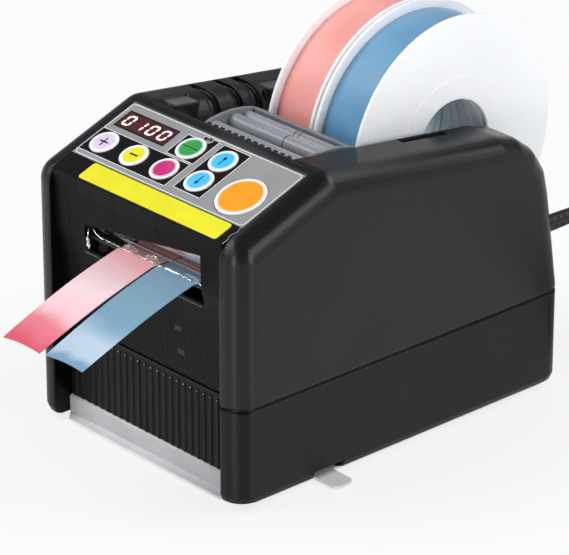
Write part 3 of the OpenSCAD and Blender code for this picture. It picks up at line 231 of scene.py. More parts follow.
# ---------------------------------------------------------------- materials
def surface(name, color, color2=None, rough=0.4, rough2=None, metal=0.0, patch=60.0, grain=900.0, grain_depth=0.02,
            stretch=(1, 1, 1), grain_stretch=(1, 1, 1), spread=(0.35, 0.65), bevel=0.0, detail=4.0, upright=False,
            **sockets):
    """Principled surface whose colour and roughness wander between two values, with a fine grain in its normal.
    Upright draws its highlights out into vertical bands, as a finely grained moulding does."""
    mat = bpy.data.materials.new(name)
    mat.use_nodes = True
    tree = mat.node_tree
    node, link = tree.nodes.new, tree.links.new
    bsdf = tree.nodes["Principled BSDF"]
    coords = node("ShaderNodeTexCoord")

    def noise(scale, stretched, fine):
        mapping = node("ShaderNodeMapping")
        mapping.inputs["Scale"].default_value = stretched
        link(coords.outputs["Object"], mapping.inputs["Vector"])
        tex = node("ShaderNodeTexNoise")
        tex.inputs["Scale"].default_value = scale
        tex.inputs["Detail"].default_value = fine
        link(mapping.outputs["Vector"], tex.inputs["Vector"])
        return tex.outputs["Fac"]

    wander = noise(patch, stretch, detail)
    ramp = node("ShaderNodeValToRGB")
    ramp.color_ramp.elements[0].position, ramp.color_ramp.elements[1].position = spread
    ramp.color_ramp.elements[0].color = (*color, 1)
    ramp.color_ramp.elements[1].color = (*(color2 or tuple(min(1.0, c * 1.12 + 0.002) for c in color)), 1)
    link(wander, ramp.inputs["Fac"])
    link(ramp.outputs["Color"], bsdf.inputs["Base Color"])
    span = node("ShaderNodeMapRange")
    span.inputs["From Min"].default_value, span.inputs["From Max"].default_value = 0.3, 0.7
    span.inputs["To Min"].default_value = rough
    span.inputs["To Max"].default_value = rough2 if rough2 is not None else rough * 1.15
    fine = noise(grain, grain_stretch, 3.0)
    link(fine, span.inputs["Value"])
    link(span.outputs["Result"], bsdf.inputs["Roughness"])
    bump = node("ShaderNodeBump")
    bump.inputs["Strength"].default_value = 1.0
    bump.inputs["Distance"].default_value = grain_depth / 1000
    link(fine, bump.inputs["Height"])
    if bevel:
        edge = node("ShaderNodeBevel")
        edge.samples = 8
        edge.inputs["Radius"].default_value = bevel / 1000
        link(edge.outputs["Normal"], bump.inputs["Normal"])
    link(bump.outputs["Normal"], bsdf.inputs["Normal"])
    bsdf.inputs["Metallic"].default_value = metal
    if upright:
        around = node("ShaderNodeTangent")
        around.direction_type, around.axis = "RADIAL", "Z"
        link(around.outputs["Tangent"], bsdf.inputs["Tangent"])
        bsdf.inputs["Anisotropic"].default_value = 0.9
        bsdf.inputs["Anisotropic Rotation"].default_value = 0.25
    for key, value in sockets.items():
        bsdf.inputs[key.replace("_", " ")].default_value = value
    return mat


def srgb(r, g, b):
    """Linear colour for values of 0 to 255 as a picture has them."""
    return tuple(((c / 255) / 12.92 if c <= 10.31 else ((c / 255 + 0.055) / 1.055) ** 2.4) for c in (r, g, b))


def glowing(name, color, strength):
    """Lit plastic: an ordinary surface that also sends out light of its own, a little uneven."""
    mat = surface(name, color, rough=0.3, patch=700, grain=2400, grain_depth=0.002)
    bsdf = mat.node_tree.nodes["Principled BSDF"]
    bsdf.inputs["Emission Color"].default_value = (*color, 1)
    bsdf.inputs["Emission Strength"].default_value = strength
    return mat


def dress(material, *nodes):
    """Puts the material on CAD nodes."""
    for node in (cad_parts[name] for name in nodes):
        if not node.material_slots:
            node.data.materials.append(material)
        for slot in node.material_slots:
            slot.material = material


shell_black = surface("shell_black", srgb(8, 8, 9), srgb(11, 11, 12), rough=0.3, rough2=0.37, patch=25, grain=1400,
                      grain_depth=0.004, bevel=1.6, upright=True, Specular_IOR_Level=0.36)
shell_lower = surface("shell_lower", srgb(6, 6, 7), srgb(9, 9, 10), rough=0.35, rough2=0.44, patch=25, grain=1400,
                      grain_depth=0.005, bevel=1.6, upright=True, Specular_IOR_Level=0.28)
cover_black = surface("cover_black", srgb(4, 4, 4), srgb(21, 21, 21), rough=0.42, rough2=0.56, patch=900,
                      stretch=(1, 0.02, 0.02), spread=(0.3, 0.75), grain=1500, grain_stretch=(1, 0.03, 0.03),
                      grain_depth=0.02, bevel=0.3, Specular_IOR_Level=0.1)
ribbed_black = surface("ribbed_black", srgb(12, 12, 12), srgb(22, 22, 22), rough=0.34, rough2=0.5, patch=400,
                       stretch=(1, 0.05, 0.05), grain=1500, grain_depth=0.012, bevel=0.2, Specular_IOR_Level=0.16)
inner_black = surface("inner_black", srgb(20, 20, 21), srgb(28, 28, 29), rough=0.45, rough2=0.6, patch=40,
                      grain=1200, grain_depth=0.015, bevel=0.3)
steel = surface("steel", (0.52, 0.53, 0.54), (0.66, 0.67, 0.68), rough=0.24, rough2=0.4, metal=1.0, patch=500,
                stretch=(0.05, 1, 1), grain=2500, grain_stretch=(0.04, 1, 1), grain_depth=0.004, bevel=0.2)
bright_steel = surface("bright_steel", (0.74, 0.75, 0.76), (0.86, 0.86, 0.87), rough=0.18, rough2=0.32, metal=1.0,
                       patch=300, stretch=(0.08, 1, 1), grain=2200, grain_stretch=(0.05, 1, 1), grain_depth=0.003,
                       bevel=0.25)
zinc = surface("zinc", (0.5, 0.5, 0.52), (0.62, 0.62, 0.65), rough=0.3, rough2=0.45, metal=1.0, patch=800,
               grain=3000, grain_depth=0.004)
brass = surface("brass", (0.55, 0.38, 0.14), (0.72, 0.54, 0.25), rough=0.25, rough2=0.4, metal=1.0, patch=900,
                grain=3000, grain_depth=0.004)
rubber = surface("rubber", srgb(18, 18, 18), srgb(30, 30, 30), rough=0.7, rough2=0.85, patch=300, grain=2200,
                 grain_depth=0.03)
roller_rubber = surface("roller_rubber", srgb(30, 30, 31), srgb(42, 42, 43), rough=0.6, rough2=0.75, patch=500,
                        grain=2600, grain_depth=0.02)
pale_rubber = surface("pale_rubber", srgb(190, 184, 170), srgb(206, 200, 188), rough=0.55, rough2=0.7, patch=400,
                      grain=2400, grain_depth=0.02)
white_nylon = surface("white_nylon", srgb(222, 222, 216), srgb(234, 234, 230), rough=0.38, rough2=0.5, patch=250,
                      grain=1800, grain_depth=0.01, bevel=0.15, Subsurface_Weight=0.05)
motor_can = surface("motor_can", (0.3, 0.31, 0.33), (0.4, 0.41, 0.43), rough=0.32, rough2=0.45, metal=1.0,
                    patch=500, stretch=(0.1, 1, 1), grain=2000, grain_depth=0.005, bevel=0.4)
board_green = surface("board_green", srgb(16, 70, 30), srgb(30, 98, 46), rough=0.35, rough2=0.5, patch=700,
                      spread=(0.45, 0.55), grain=2000, grain_depth=0.02)
# the steel base plate is coloured pale rather than metal: a painted reflection of the white floor
plate_pale = surface("plate_pale", srgb(226, 227, 228), srgb(236, 236, 237), rough=0.35, rough2=0.45, patch=40,
                     grain=2000, grain_stretch=(0.05, 1, 1), grain_depth=0.004)
strip_grey = surface("strip_grey", srgb(178, 179, 180), srgb(188, 189, 190), rough=0.33, rough2=0.42, patch=60,
                     grain=1500, grain_depth=0.008, bevel=0.4)
label_yellow = surface("label_yellow", srgb(226, 218, 8), srgb(232, 226, 26), rough=0.35, rough2=0.42, patch=90,
                       grain=1600, grain_depth=0.004)
panel_grey = surface("panel_grey", srgb(139, 139, 139), srgb(148, 148, 148), rough=0.34, rough2=0.42, patch=45,
                     grain=2200, grain_depth=0.004, bevel=0.3)
print_black = surface("print_black", srgb(9, 8, 10), srgb(15, 14, 16), rough=0.38, rough2=0.45, patch=90,
                      grain=2400, grain_depth=0.003, Specular_IOR_Level=0.12)
print_white = surface("print_white", srgb(235, 235, 236), srgb(244, 244, 245), rough=0.4, rough2=0.46, patch=90,
                      grain=2400, grain_depth=0.003)
display_dark = surface("display_dark", srgb(46, 4, 8), srgb(72, 8, 12), rough=0.12, rough2=0.18, patch=300,
                       grain=2500, grain_depth=0.002, Coat_Weight=0.3)
guide_grey = surface("guide_grey", srgb(112, 113, 118), srgb(128, 129, 134), rough=0.28, rough2=0.36, patch=120,
                     grain=1600, grain_depth=0.006, bevel=0.3)
roller_grey = surface("roller_grey", srgb(132, 134, 141), srgb(148, 150, 157), rough=0.24, rough2=0.32, patch=200,
                      stretch=(0.1, 1, 1), grain=1800, grain_stretch=(0.1, 1, 1), grain_depth=0.006)
flange_white = surface("flange_white", srgb(246, 244, 247), srgb(252, 250, 252), rough=0.3, rough2=0.4, patch=18,
                       grain=1200, grain_depth=0.004, Subsurface_Weight=0.15, Subsurface_Scale=0.004)
cord_black = surface("cord_black", srgb(6, 6, 7), srgb(12, 12, 13), rough=0.46, rough2=0.55, patch=200, grain=2000,
                     grain_depth=0.01)
switch_black = surface("switch_black", srgb(12, 12, 13), srgb(18, 18, 19), rough=0.2, rough2=0.3, patch=200,
                       grain=1800, grain_depth=0.006, bevel=0.2)
rocker_red = surface("rocker_red", srgb(168, 20, 14), srgb(190, 30, 20), rough=0.2, rough2=0.28, patch=200,
                     grain=1800, grain_depth=0.004, bevel=0.3)


def satin(name, dark, pale):
    """Woven satin ribbon: a soft sheen, fine threads and slow changes of tone."""
    return surface(name, dark, pale, rough=0.36, rough2=0.5, patch=26, spread=(0.25, 0.75), detail=2.0,
                   grain=2600, grain_stretch=(0.12, 1, 1), grain_depth=0.012, Sheen_Weight=0.35, Sheen_Roughness=0.4)


# y of the front and back of the shelf that the tails lie on, and by how much of the tail its tones waver
SHELF_Y = (4.5, 13.0)
TONE_WAVER = 0.22


def sheen_painted_satin(name, tones, end_y):
    """Satin with a painted sheen and shade: its tone, lighter and darker along the tail as light falls on the satin,
    given as (share of the way to the tip, colour) pairs.
    """
    mat = satin(name, tones[0][1], tones[0][1])
    tree = mat.node_tree
    node, link = tree.nodes.new, tree.links.new
    bsdf = tree.nodes["Principled BSDF"]
    coords = node("ShaderNodeTexCoord")
    split = node("ShaderNodeSeparateXYZ")
    link(coords.outputs["Object"], split.inputs[0])
    along = node("ShaderNodeMapRange")
    along.inputs["From Min"].default_value = P(0, SHELF_Y[0], 0)[1]
    along.inputs["From Max"].default_value = P(0, end_y, 0)[1]
    link(split.outputs["Y"], along.inputs["Value"])
    ripple = node("ShaderNodeTexNoise")
    ripple.inputs["Scale"].default_value = 45
    ripple.inputs["Detail"].default_value = 3
    link(coords.outputs["Object"], ripple.inputs["Vector"])
    waver = node("ShaderNodeMath")
    waver.operation = "MULTIPLY_ADD"
    waver.inputs[1].default_value = TONE_WAVER
    link(ripple.outputs["Fac"], waver.inputs[0])
    link(along.outputs["Result"], waver.inputs[2])
    shift = node("ShaderNodeMath")
    shift.operation = "SUBTRACT"
    shift.inputs[1].default_value = TONE_WAVER / 2
    link(waver.outputs[0], shift.inputs[0])
    ramp = node("ShaderNodeValToRGB")
    ramp.color_ramp.interpolation = "EASE"
    for k, (at, color) in enumerate(tones):
        stop = ramp.color_ramp.elements[k] if k < 2 else ramp.color_ramp.elements.new(at)
        stop.position, stop.color = at, (*color, 1)
    link(shift.outputs[0], ramp.inputs["Fac"])
    threads = node("ShaderNodeTexNoise")
    threads.inputs["Scale"].default_value = 1500
    link(coords.outputs["Object"], threads.inputs["Vector"])
    blend = node("ShaderNodeMix")
    blend.data_type = "RGBA"
    blend.blend_type = "SOFT_LIGHT"
    blend.inputs["Factor"].default_value = 0.35
    link(ramp.outputs["Color"], blend.inputs["A"])
    link(threads.outputs["Fac"], blend.inputs["B"])
    link(blend.outputs["Result"], bsdf.inputs["Base Color"])
    return mat


# painted sheen and shade: each tail's pale and darker stretches along its length stand in for the light on the satin
PINK_SHEEN_TONES = [(0.0, srgb(248, 178, 180)), (0.16, srgb(248, 202, 206)), (0.38, srgb(249, 218, 224)),
              (0.62, srgb(246, 202, 208)), (0.82, srgb(226, 116, 132)), (1.0, srgb(212, 72, 94))]
BLUE_SHEEN_TONES = [(0.0, srgb(132, 168, 194)), (0.3, srgb(126, 168, 188)), (0.55, srgb(118, 158, 184)),
              (0.78, srgb(182, 202, 222)), (0.92, srgb(176, 198, 218)), (1.0, srgb(112, 150, 184))]
PINK_END, BLUE_END = -60, -58
satin_pink = sheen_painted_satin("satin_pink", PINK_SHEEN_TONES, PINK_END)
satin_blue = sheen_painted_satin("satin_blue", BLUE_SHEEN_TONES, BLUE_END)
wound_pink_mat = satin("wound_pink_satin", srgb(232, 138, 128), srgb(242, 166, 158))
wound_blue_mat = satin("wound_blue_satin", srgb(72, 132, 172), srgb(104, 158, 194))

dress(shell_black, "upper_housing")
dress(shell_lower, "base_housing")
dress(cover_black, "front_cover")
dress(ribbed_black, "ribbed_panel")
dress(inner_black, "outlet_guide", "spool_cradle", "blade_carrier")
dress(steel, "chassis", "cross_rods", "feed_shaft", "cover_hinge_pin")
dress(plate_pale, "base_plate")
dress(bright_steel, "fixed_blade", "moving_blade", "press_spring")
dress(zinc, "housing_screws")
dress(brass, "shaft_bushes", "plug_pins")
dress(rubber, "rubber_feet")
dress(roller_rubber, "feed_roller")
dress(pale_rubber, "pinch_roller")
dress(white_nylon, "feed_gear", "motor_pinion", "cutter_pinion", "blade_guides")
dress(motor_can, "feed_motor", "cutter_motor")
dress(board_green, "control_board", "power_board")
dress(strip_grey, "front_strip")
dress(label_yellow, "yellow_strip")
dress(panel_grey, "keypad_panel")
dress(display_dark, "display_window")
dress(guide_grey, "guide_frame")
dress(roller_grey, "guide_roller_front", "guide_roller_middle", "guide_roller_rear", "cradle_roller_front",
      "cradle_roller_rear")
dress(flange_white, "spool_left", "spool_right")
dress(switch_black, "power_switch")
dress(rocker_red, "power_rocker")
dress(satin_pink, "ribbon_webs")

# ---------------------------------------------------------------- cord
CORD_D = 6.0
# x and z of the strain relief's axis, then the lead's line from there down to the coil's top, and from under the coil
# to the plug
GLAND = (56.0, 75.7)
CORD_ROUTE = [(56, 226, 75.7), (56, 232.7, 74.8), (56, 239, 72.2), (56, 244.4, 68.1), (56, 248.5, 62.7),
              (56, 251.1, 56.4), (56, 252, 49.7), (56, 252, 44.8), (56, 252, 39.9), (56, 252, 35), (56, 252.9, 28.3),
              (56, 255.5, 22), (56, 259.6, 16.6), (56, 265, 12.5), (56, 271.3, 9.9), (56, 278, 9)]
PLUG_ROUTE = [(56, 290, 3), (56, 295, 3.4), (56, 300, 4.6), (56, 305, 6.4), (56, 310, 7.6), (56, 315, 8)]
COIL_AT = (98.0, 278.0)
COIL_R = 36.0
COIL_TURNS = 5
# in turns: where the coil steps to the next ring, how long a step in or out takes, how much earlier one out begins
COIL_ZONE = 0.5
STEP_IN, STEP_OUT, OUT_EARLY = 0.4, 0.55, 0.3


def coil_point(t):
    """Point of the coil after t turns: inwards over three rings on top, then down and back outwards underneath."""
    step, top, low = CORD_D, 1.5 * CORD_D, 0.5 * CORD_D
    turn = math.floor(t - COIL_ZONE)
    s = t - COIL_ZONE - turn
    arc = math.radians(90 * min(s / STEP_IN, 1))
    if turn < 0:
        r, z = COIL_R + step, top
    elif turn < 2:
        r, z = COIL_R + step * (math.cos(arc) - turn), top
    elif turn == 2 and s < STEP_IN:
        r, z = COIL_R - step, top - step * math.sin(arc)
    else:
        r, z = COIL_R - step, low
        for k in (3, 4):
            u = min(max((t - (k + COIL_ZONE - OUT_EARLY)) / STEP_OUT, 0), 1)
            r += step * u * u * (3 - 2 * u)
    a = math.pi - 2 * math.pi * t
    return (COIL_AT[0] + r * math.cos(a), COIL_AT[1] + r * math.sin(a), z)


PER_TURN = 60
coil = [coil_point(k / PER_TURN) for k in range(COIL_TURNS * PER_TURN + 1)]
cord_line = (smooth_path(CORD_ROUTE, 4)[:-1] + [Vector(p) for p in coil[:-1]]
             + smooth_path([coil[-1]] + PLUG_ROUTE, 4))
cord_path = [P(*p) for p in cord_line]
curve = bpy.data.curves.new("mains_lead", "CURVE")
curve.dimensions = "3D"
spline = curve.splines.new("POLY")
spline.points.add(len(cord_path) - 1)
for point, co in zip(spline.points, cord_path):
    point.co = (*co, 1)
curve.bevel_depth = CORD_D / 2000
curve.bevel_resolution = 5
curve.use_fill_caps = True
curve.materials.append(cord_black)
lead = bpy.data.objects.new("mains_lead", curve)
bpy.context.scene.collection.objects.link(lead)
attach(lead, "housing")
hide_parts("power_cord", "cord_coil")

# strain relief: a round flange and a tapered sleeve with shallow grooves
relief = Shape()
gland_face = 197.1
profile = [(0, 180), (4.9, 180), (4.9, gland_face), (5.8, gland_face), (5.8, gland_face + 1.0),
           (5.4, gland_face + 1.5), (4.1, gland_face + 1.7)]
y = gland_face + 2.6
for k in range(6):
    r = 3.95 - 0.1 * k
    profile += [(r, y), (r - 0.02, y + 2.9), (r - 0.22, y + 3.2), (r - 0.22, y + 3.7), (r - 0.08, y + 4.0)]
    y += 4.2
profile += [(3.35, y), (3.25, 225.6), (3.1, 226), (0, 226)]
relief.lathe(profile, lambda a, b, h: P(GLAND[0] + a, h, GLAND[1] + b), 40)
relief.make("strain_relief_sleeve", "housing", cord_black, ["strain_relief"], angle=50)

# tie: a strap round the turns on one side, with its clasp on top
tie = Shape()
TIE_REACH, TIE_HALF, TIE_TOP = 9.6, 4.0, 12.75
x0, x1 = COIL_AT[0] + COIL_R - TIE_REACH, COIL_AT[0] + COIL_R + TIE_REACH
outer = rounded(x0, 0.02, x1, TIE_TOP, 3.0)
inner = rounded(x0 + 0.7, 0.3, x1 - 0.7, 12.1, 2.4)
n = len(outer)
faces = []
for i in range(n):
    j = (i + 1) % n
    faces += [[i, j, 2 * n + j, 2 * n + i], [n + j, n + i, 3 * n + i, 3 * n + j], [j, i, n + i, n + j],
              [2 * n + i, 2 * n + j, 3 * n + j, 3 * n + i]]
tie.add([P(x, COIL_AT[1] + s * TIE_HALF, z) for s in (-1, 1) for ring in (outer, inner) for x, z in ring], faces)
tie.prism(rounded(x0 + 5, COIL_AT[1] - TIE_HALF, x0 + 15, COIL_AT[1] + TIE_HALF, 1.5), 12.7, 12.8, P)
tie_piece = tie.make("cord_strap", "housing", rubber, ["cord_tie"], angle=40)

# plug: a flat moulded body with grip ridges, as distance along it, half width, half height and corner radius
RIDGE, GROOVE = (11.9, 8, 7.4), (11.4, 7.5, 6.9)
PLUG_RINGS = [(0, 3.3, 3.3, 3.2), (1.5, 3.9, 3.9, 3.8), (4, 4.8, 4.6, 4.4), (8, 7.6, 6, 5.4),
              (11.5, 10.6, 7.4, 6.6), (14, 11.7, 7.9, 7.2), (17, *RIDGE)]
for h in (18, 22, 26):
    PLUG_RINGS += [(h, *GROOVE), (h + 1.4, *GROOVE), (h + 2.2, *RIDGE)]
PLUG_RINGS += [(34.8, 12, 8, 7.4), (35.7, 11.6, 7.6, 7.0), (36, 11, 7, 6.4)]
plug = Shape()
end = PLUG_ROUTE[-1]
rings = [[P(end[0] + x, end[1] + h, end[2] + z) for x, z in rounded(-a, -b, a, b, r, 5)] for h, a, b, r in PLUG_RINGS]
plug.add([q for ring in rings for q in ring], ring_faces(len(rings[0]), len(rings)))
plug_piece = plug.make("mains_plug", "housing", cord_black, ["plug_body"], angle=30)

# ---------------------------------------------------------------- ribbon tails
# width and thickness of the tape
RIBBON_W, RIBBON_T = 25.0, 0.4


def tail(name, x_mid, end_y, material, node, phase):
    """Satin tail from the outlet: a flat start, a soft droop and a light curl across and at the tip."""
    shape = Shape()
    across, along = 14, 60
    far = SHELF_Y[0] - end_y
    flat_part, droop = 0.12, 21
    tops = []
    for j in range(along + 1):
        s = j / along
        if s < flat_part:
            t = 0.0
            y, z = SHELF_Y[1] + (SHELF_Y[0] - SHELF_Y[1]) * s / flat_part, PATH_Z
        else:
            t = (s - flat_part) / (1 - flat_part)
            y, z = SHELF_Y[0] - far * t, PATH_Z - droop * (0.75 * t + 0.25 * t * t)
        row = []
        for i in range(across + 1):
            u = 2 * i / across - 1
            lift = t * (1 - t) * 1.2 * math.sin(3.2 * t + phase) - 0.9 * u * u * t + 0.5 * u * t * t
            row.append(P(x_mid + u * RIBBON_W / 2 * (1 - 0.004 * t), y, z + RIBBON_T + lift))
        tops.append(row)
    bottoms = [[(p[0], p[1], p[2] - RIBBON_T / 1000) for p in row] for row in tops]
    n = across + 1
    rows = len(tops)
    points = [p for row in tops for p in row] + [p for row in bottoms for p in row]
    off = rows * n
    faces = []
    for a in range(rows - 1):
        for i in range(across):
            q = [a * n + i, a * n + i + 1, (a + 1) * n + i + 1, (a + 1) * n + i]
            faces += [q, [off + v for v in q[::-1]]]
        for i in (0, across):
            faces.append([a * n + i, (a + 1) * n + i, off + (a + 1) * n + i, off + a * n + i])
    for a in (0, rows - 1):
        faces += [[a * n + i, a * n + i + 1, off + a * n + i + 1, off + a * n + i] for i in range(across)]
    shape.add(points, faces)
    piece = shape.make(name, "cover", material, [node], angle=60)


tail("satin_tail_pink", -3.2, PINK_END, satin_pink, "ribbon_tail_pink", 0.4)
tail("satin_tail_blue", 23.2, BLUE_END, satin_blue, "ribbon_tail_blue", 1.2)

# ---------------------------------------------------------------- wound ribbon
# x of the middles of the left and right spool, and y and z of their common axis
SPOOL = (-6.0, 24.0)
SPOOL_YZ = (156.9996, 121.985)


def on_spool(x_mid):
    """Place of a lathe's points round the spools' common axis, its heights counted from x_mid along x."""
    return lambda a, b, h: P(x_mid + h, SPOOL_YZ[0] + a, SPOOL_YZ[1] + b)


# radii of the innermost and outermost groove of the wound tape, and their step
CORE_R, LAST_R, LAYER = 27.1, 56.4, 0.9


def wound(name, x_mid, body, material, slot):
    """Wound tape: the edges of its layers as fine grooves on both sides, and a slightly crowned outside."""
    shape = Shape()
    half = RIBBON_W / 2
    side = []
    r = CORE_R
    while r < LAST_R:
        side += [(r, half - 0.25), (r + 0.35, half - 0.05), (r + 0.7, half - 0.25)]
        r += LAYER
    crown = [(56.7, half - 0.1), (56.95, half - 0.6), (57.0, half - 2.5), (57.0, 2.0)]
    half_profile = side + crown
    shape.lathe(half_profile + [(r, -h) for r, h in half_profile[::-1]], on_spool(x_mid), 128, closed=True)
    shape.make(name, body, material, [slot], angle=50)


wound("satin_wound_pink", SPOOL[0], "spool_left", wound_pink_mat, "wound_pink")
wound("satin_wound_blue", SPOOL[1], "spool_right", wound_blue_mat, "wound_blue")

# ---------------------------------------------------------------- keypad
# key: x and distance up the slope of its middle, and its diameter
KEYS = {"key_plus": (-47.6, 26.1, 13.9), "key_minus": (-27.1, 26.1, 13.9), "key_select": (-6.6, 26.1, 13.9),
        "key_mode": (-6.2, 42.2, 14.4), "key_up": (14.8, 42.7, 13.9), "key_down": (14.8, 27.7, 13.9),
        "key_start": (41.0, 29.0, 23.8)}
# heights of a key's underside and top over the panel, and the width of its white rim
KEY_LOW, KEY_TOP, KEY_RIM = -2.3, 0.5, 1.15


def gloss(name, color, pale, **sockets):
    """Smooth plastic of the keys and the ink on it."""
    return surface(name, color, pale, rough=0.28, rough2=0.36, patch=140, grain=2300, grain_depth=0.003, **sockets)


key_white = gloss("key_white", srgb(238, 237, 240), srgb(246, 246, 248))
key_ink = gloss("key_ink", srgb(10, 10, 14), srgb(18, 18, 24), Specular_IOR_Level=0.1)
key_navy = gloss("key_navy", srgb(6, 24, 52), srgb(12, 34, 66), Specular_IOR_Level=0.1)
CYAN = ("key_cyan", srgb(48, 182, 236), srgb(84, 198, 240))
KEY_FACES = {"key_plus": ("key_lilac", srgb(218, 196, 226), srgb(226, 208, 232)),
             "key_minus": ("key_yellow", srgb(228, 216, 12), srgb(236, 226, 46)),
             "key_select": ("key_magenta", srgb(192, 26, 112), srgb(206, 50, 130)),
             "key_mode": ("key_green", srgb(38, 154, 68), srgb(62, 168, 88)),
             "key_up": CYAN,
             "key_down": CYAN,
             "key_start": ("key_orange", srgb(248, 150, 2), srgb(250, 160, 20))}


def slanted(cx, cv, angle, outline):
    """Outline turned by angle degrees and moved to cx, cv."""
    a = math.radians(angle)
    return [(cx + x * math.cos(a) - y * math.sin(a), cv + x * math.sin(a) + y * math.cos(a)) for x, y in outline]


def bar(length, width):
    """Outline of a bar round its middle."""
    return [(-length / 2, -width / 2), (length / 2, -width / 2), (length / 2, width / 2), (-length / 2, width / 2)]


PLUS = [(-2.75, -0.4), (-0.4, -0.4), (-0.4, -2.75), (0.4, -2.75), (0.4, -0.4), (2.75, -0.4), (2.75, 0.4), (0.4, 0.4),
        (0.4, 2.75), (-0.4, 2.75), (-0.4, 0.4), (-2.75, 0.4)]
ARROW = [(-0.28, -3.05), (0.28, -3.05), (0.28, 0.9), (1.1, 0.75), (0, 3.05), (-1.1, 0.75), (-0.28, 0.9)]
GLYPHS = {"key_plus": (0, PLUS), "key_minus": (0, bar(5, 0.9)), "key_mode": (0, bar(10.4, 0.35)),
          "key_up": (0, ARROW), "key_down": (180, ARROW)}
# each key's cap: a white body with two lugs, a tinted rim, a slightly domed face and its sign
for node, (x, v, d) in KEYS.items():
    tint, color, pale = KEY_FACES[node]
    r = d / 2
    face = r - KEY_RIM
    on_key = lambda a, b, h, x=x, v=v: S(x + a, v + b, h)
    cap = Shape()
    cap.lathe([(0, KEY_LOW), (r, KEY_LOW), (r, KEY_TOP - 0.12), (r - 0.12, KEY_TOP), (face, KEY_TOP)], on_key, 64, 0)
    cap.lathe([(face, KEY_TOP), (face - 0.25, KEY_TOP + 0.03), (face - 0.7, KEY_TOP + 0.05)], on_key, 64, 1)
    cap.lathe([(face - 0.7, KEY_TOP + 0.05), (face * 0.6, KEY_TOP + 0.08), (face * 0.3, KEY_TOP + 0.095),
               (0, KEY_TOP + 0.1)], on_key, 64, 2)
    lug = [(r - 0.6, -3), (r + 0.75, -2.6), (r + 0.75, 2.6), (r - 0.6, 3)]
    for side in (-1, 1):
        cap.prism([(side * q, w) for q, w in lug][::side], KEY_LOW - 0.1, KEY_LOW + 0.7, on_key, 0)
    if node in GLYPHS:
        turn, outline = GLYPHS[node]
        cap.prism(slanted(0, 0, turn, outline), KEY_TOP, KEY_TOP + 0.14, on_key, 3)
    dim = tuple(0.5 * a + 0.5 * b for a, b in zip(color, srgb(245, 245, 246)))
    ink = key_navy if tint == "key_cyan" else key_ink
    finishes = [key_white, gloss(node + "_edge", dim, dim), gloss(node + "_face", color, pale), ink]
    cap.make(node.replace("key_", "cap_"), node, finishes, [node], angle=25)

# printed fields of the panel: black behind the keys, with white lines round them; thickness and widths of the print
PRINT_N = 0.035
LINE, EDGE_LINE = 0.3, 0.35


def key_hole(node):
    """Outline of the opening round a key, a little wider than the key."""
    x, v, d = KEYS[node]
    return circle(x, v, d / 2 + 0.35, 64)


ROW = rounded(-56.6, 17.6, 2.4, 34.0, 1.0)
MODE_FIELD = [(-15.2, 34.7), (3.2, 34.7), (3.2, 51.9), (-6.5, 51.9), (-6.5, 49), (-15.2, 49)]
ARROWS = rounded(6.4, 19.3, 24.1, 51.5, 0.8)
LED = (-2.2, 50.4)
EDGE = rounded(-56.4, 15.1, 56.4, 52.9, 2.2)
FIELDS = ((ROW, [key_hole("key_plus"), key_hole("key_minus"), key_hole("key_select")]),
          (MODE_FIELD, [key_hole("key_mode"), circle(*LED, 1.45, 32)]),
          (ARROWS, [key_hole("key_up"), key_hole("key_down")]))
fields = Shape()
for outline, holes in FIELDS:
    fields.plate(shrink(outline, LINE), holes, 0, PRINT_N, S, 0)
for outline, _ in FIELDS:
    fields.plate(outline, [shrink(outline, LINE)], 0, PRINT_N, S, 1)
fields.plate(EDGE, [shrink(EDGE, EDGE_LINE)], 0, PRINT_N, S, 1)
# display window: its middle, width and height, with a dark frame round it
DISPLAY = (-36.8, 42.8, 33.0, 10.5)
frame_out = slanted(*DISPLAY[:2], 0, bar(DISPLAY[2] + 1, DISPLAY[3] + 1))
fields.plate(frame_out, [shrink(frame_out, 0.75)], 0, PRINT_N, S, 0)
fields.make("keypad_print", "housing", [print_black, print_white], (), angle=30)

# lamp lens with a grey ring
lens = Shape()
on_lens = lambda a, b, h: S(LED[0] + a, LED[1] + b, h)
lens.lathe([(1.9, 0.0), (1.9, 0.14), (1.45, 0.18), (1.4, 0.1)], on_lens, 40, 1)
lens.lathe([(1.4, 0.1), (1.38, 0.4), (1.0, 0.62), (0.5, 0.72), (0, 0.75)], on_lens, 40, 0)
lens_dark = surface("lens_dark", srgb(44, 38, 40), srgb(70, 62, 64), rough=0.1, rough2=0.16, patch=900, grain=2400,
                    grain_depth=0.002, Coat_Weight=0.5)
lens.make("lamp_lens", "housing", [lens_dark, strip_grey], (), angle=40)

# four digits of seven segments in the display: their width, height, step, stroke and slant
DIGIT_W, DIGIT_H, DIGIT_STEP, STROKE, SLANT = 4.9, 6.9, 7.9, 0.95, math.tan(math.radians(8))
digit_glow = glowing("digit_glow", srgb(255, 226, 222), 1.1)
digit_halo = glowing("digit_halo", srgb(214, 26, 20), 0.55)
digit_off = surface("digit_off", srgb(78, 8, 10), srgb(92, 12, 14), rough=0.3, patch=500, grain=2400,
                    grain_depth=0.002)
SEGMENTS = {"0": "abcdef", "1": "bc"}


def segment(which, w, h, stroke):
    """Outline of one of the seven segments of a digit of that width and height, around its middle."""
    s2, x, y = stroke / 2, w / 2, h / 2
    across = {"a": y - s2, "g": 0.0, "d": s2 - y}
    if which in across:
        c, e = across[which], x - s2 - 0.12
        return [(-e, c), (-e + s2, c - s2), (e - s2, c - s2), (e, c), (e - s2, c + s2), (-e + s2, c + s2)]
    c = (x - s2) if which in "bc" else (s2 - x)
    lo, hi = (s2 * 0.3, y - s2 - 0.1) if which in "bf" else (s2 + 0.1 - y, -s2 * 0.3)
    return [(c, lo), (c + s2, lo + s2), (c + s2, hi - s2), (c, hi), (c - s2, hi - s2), (c - s2, lo + s2)]


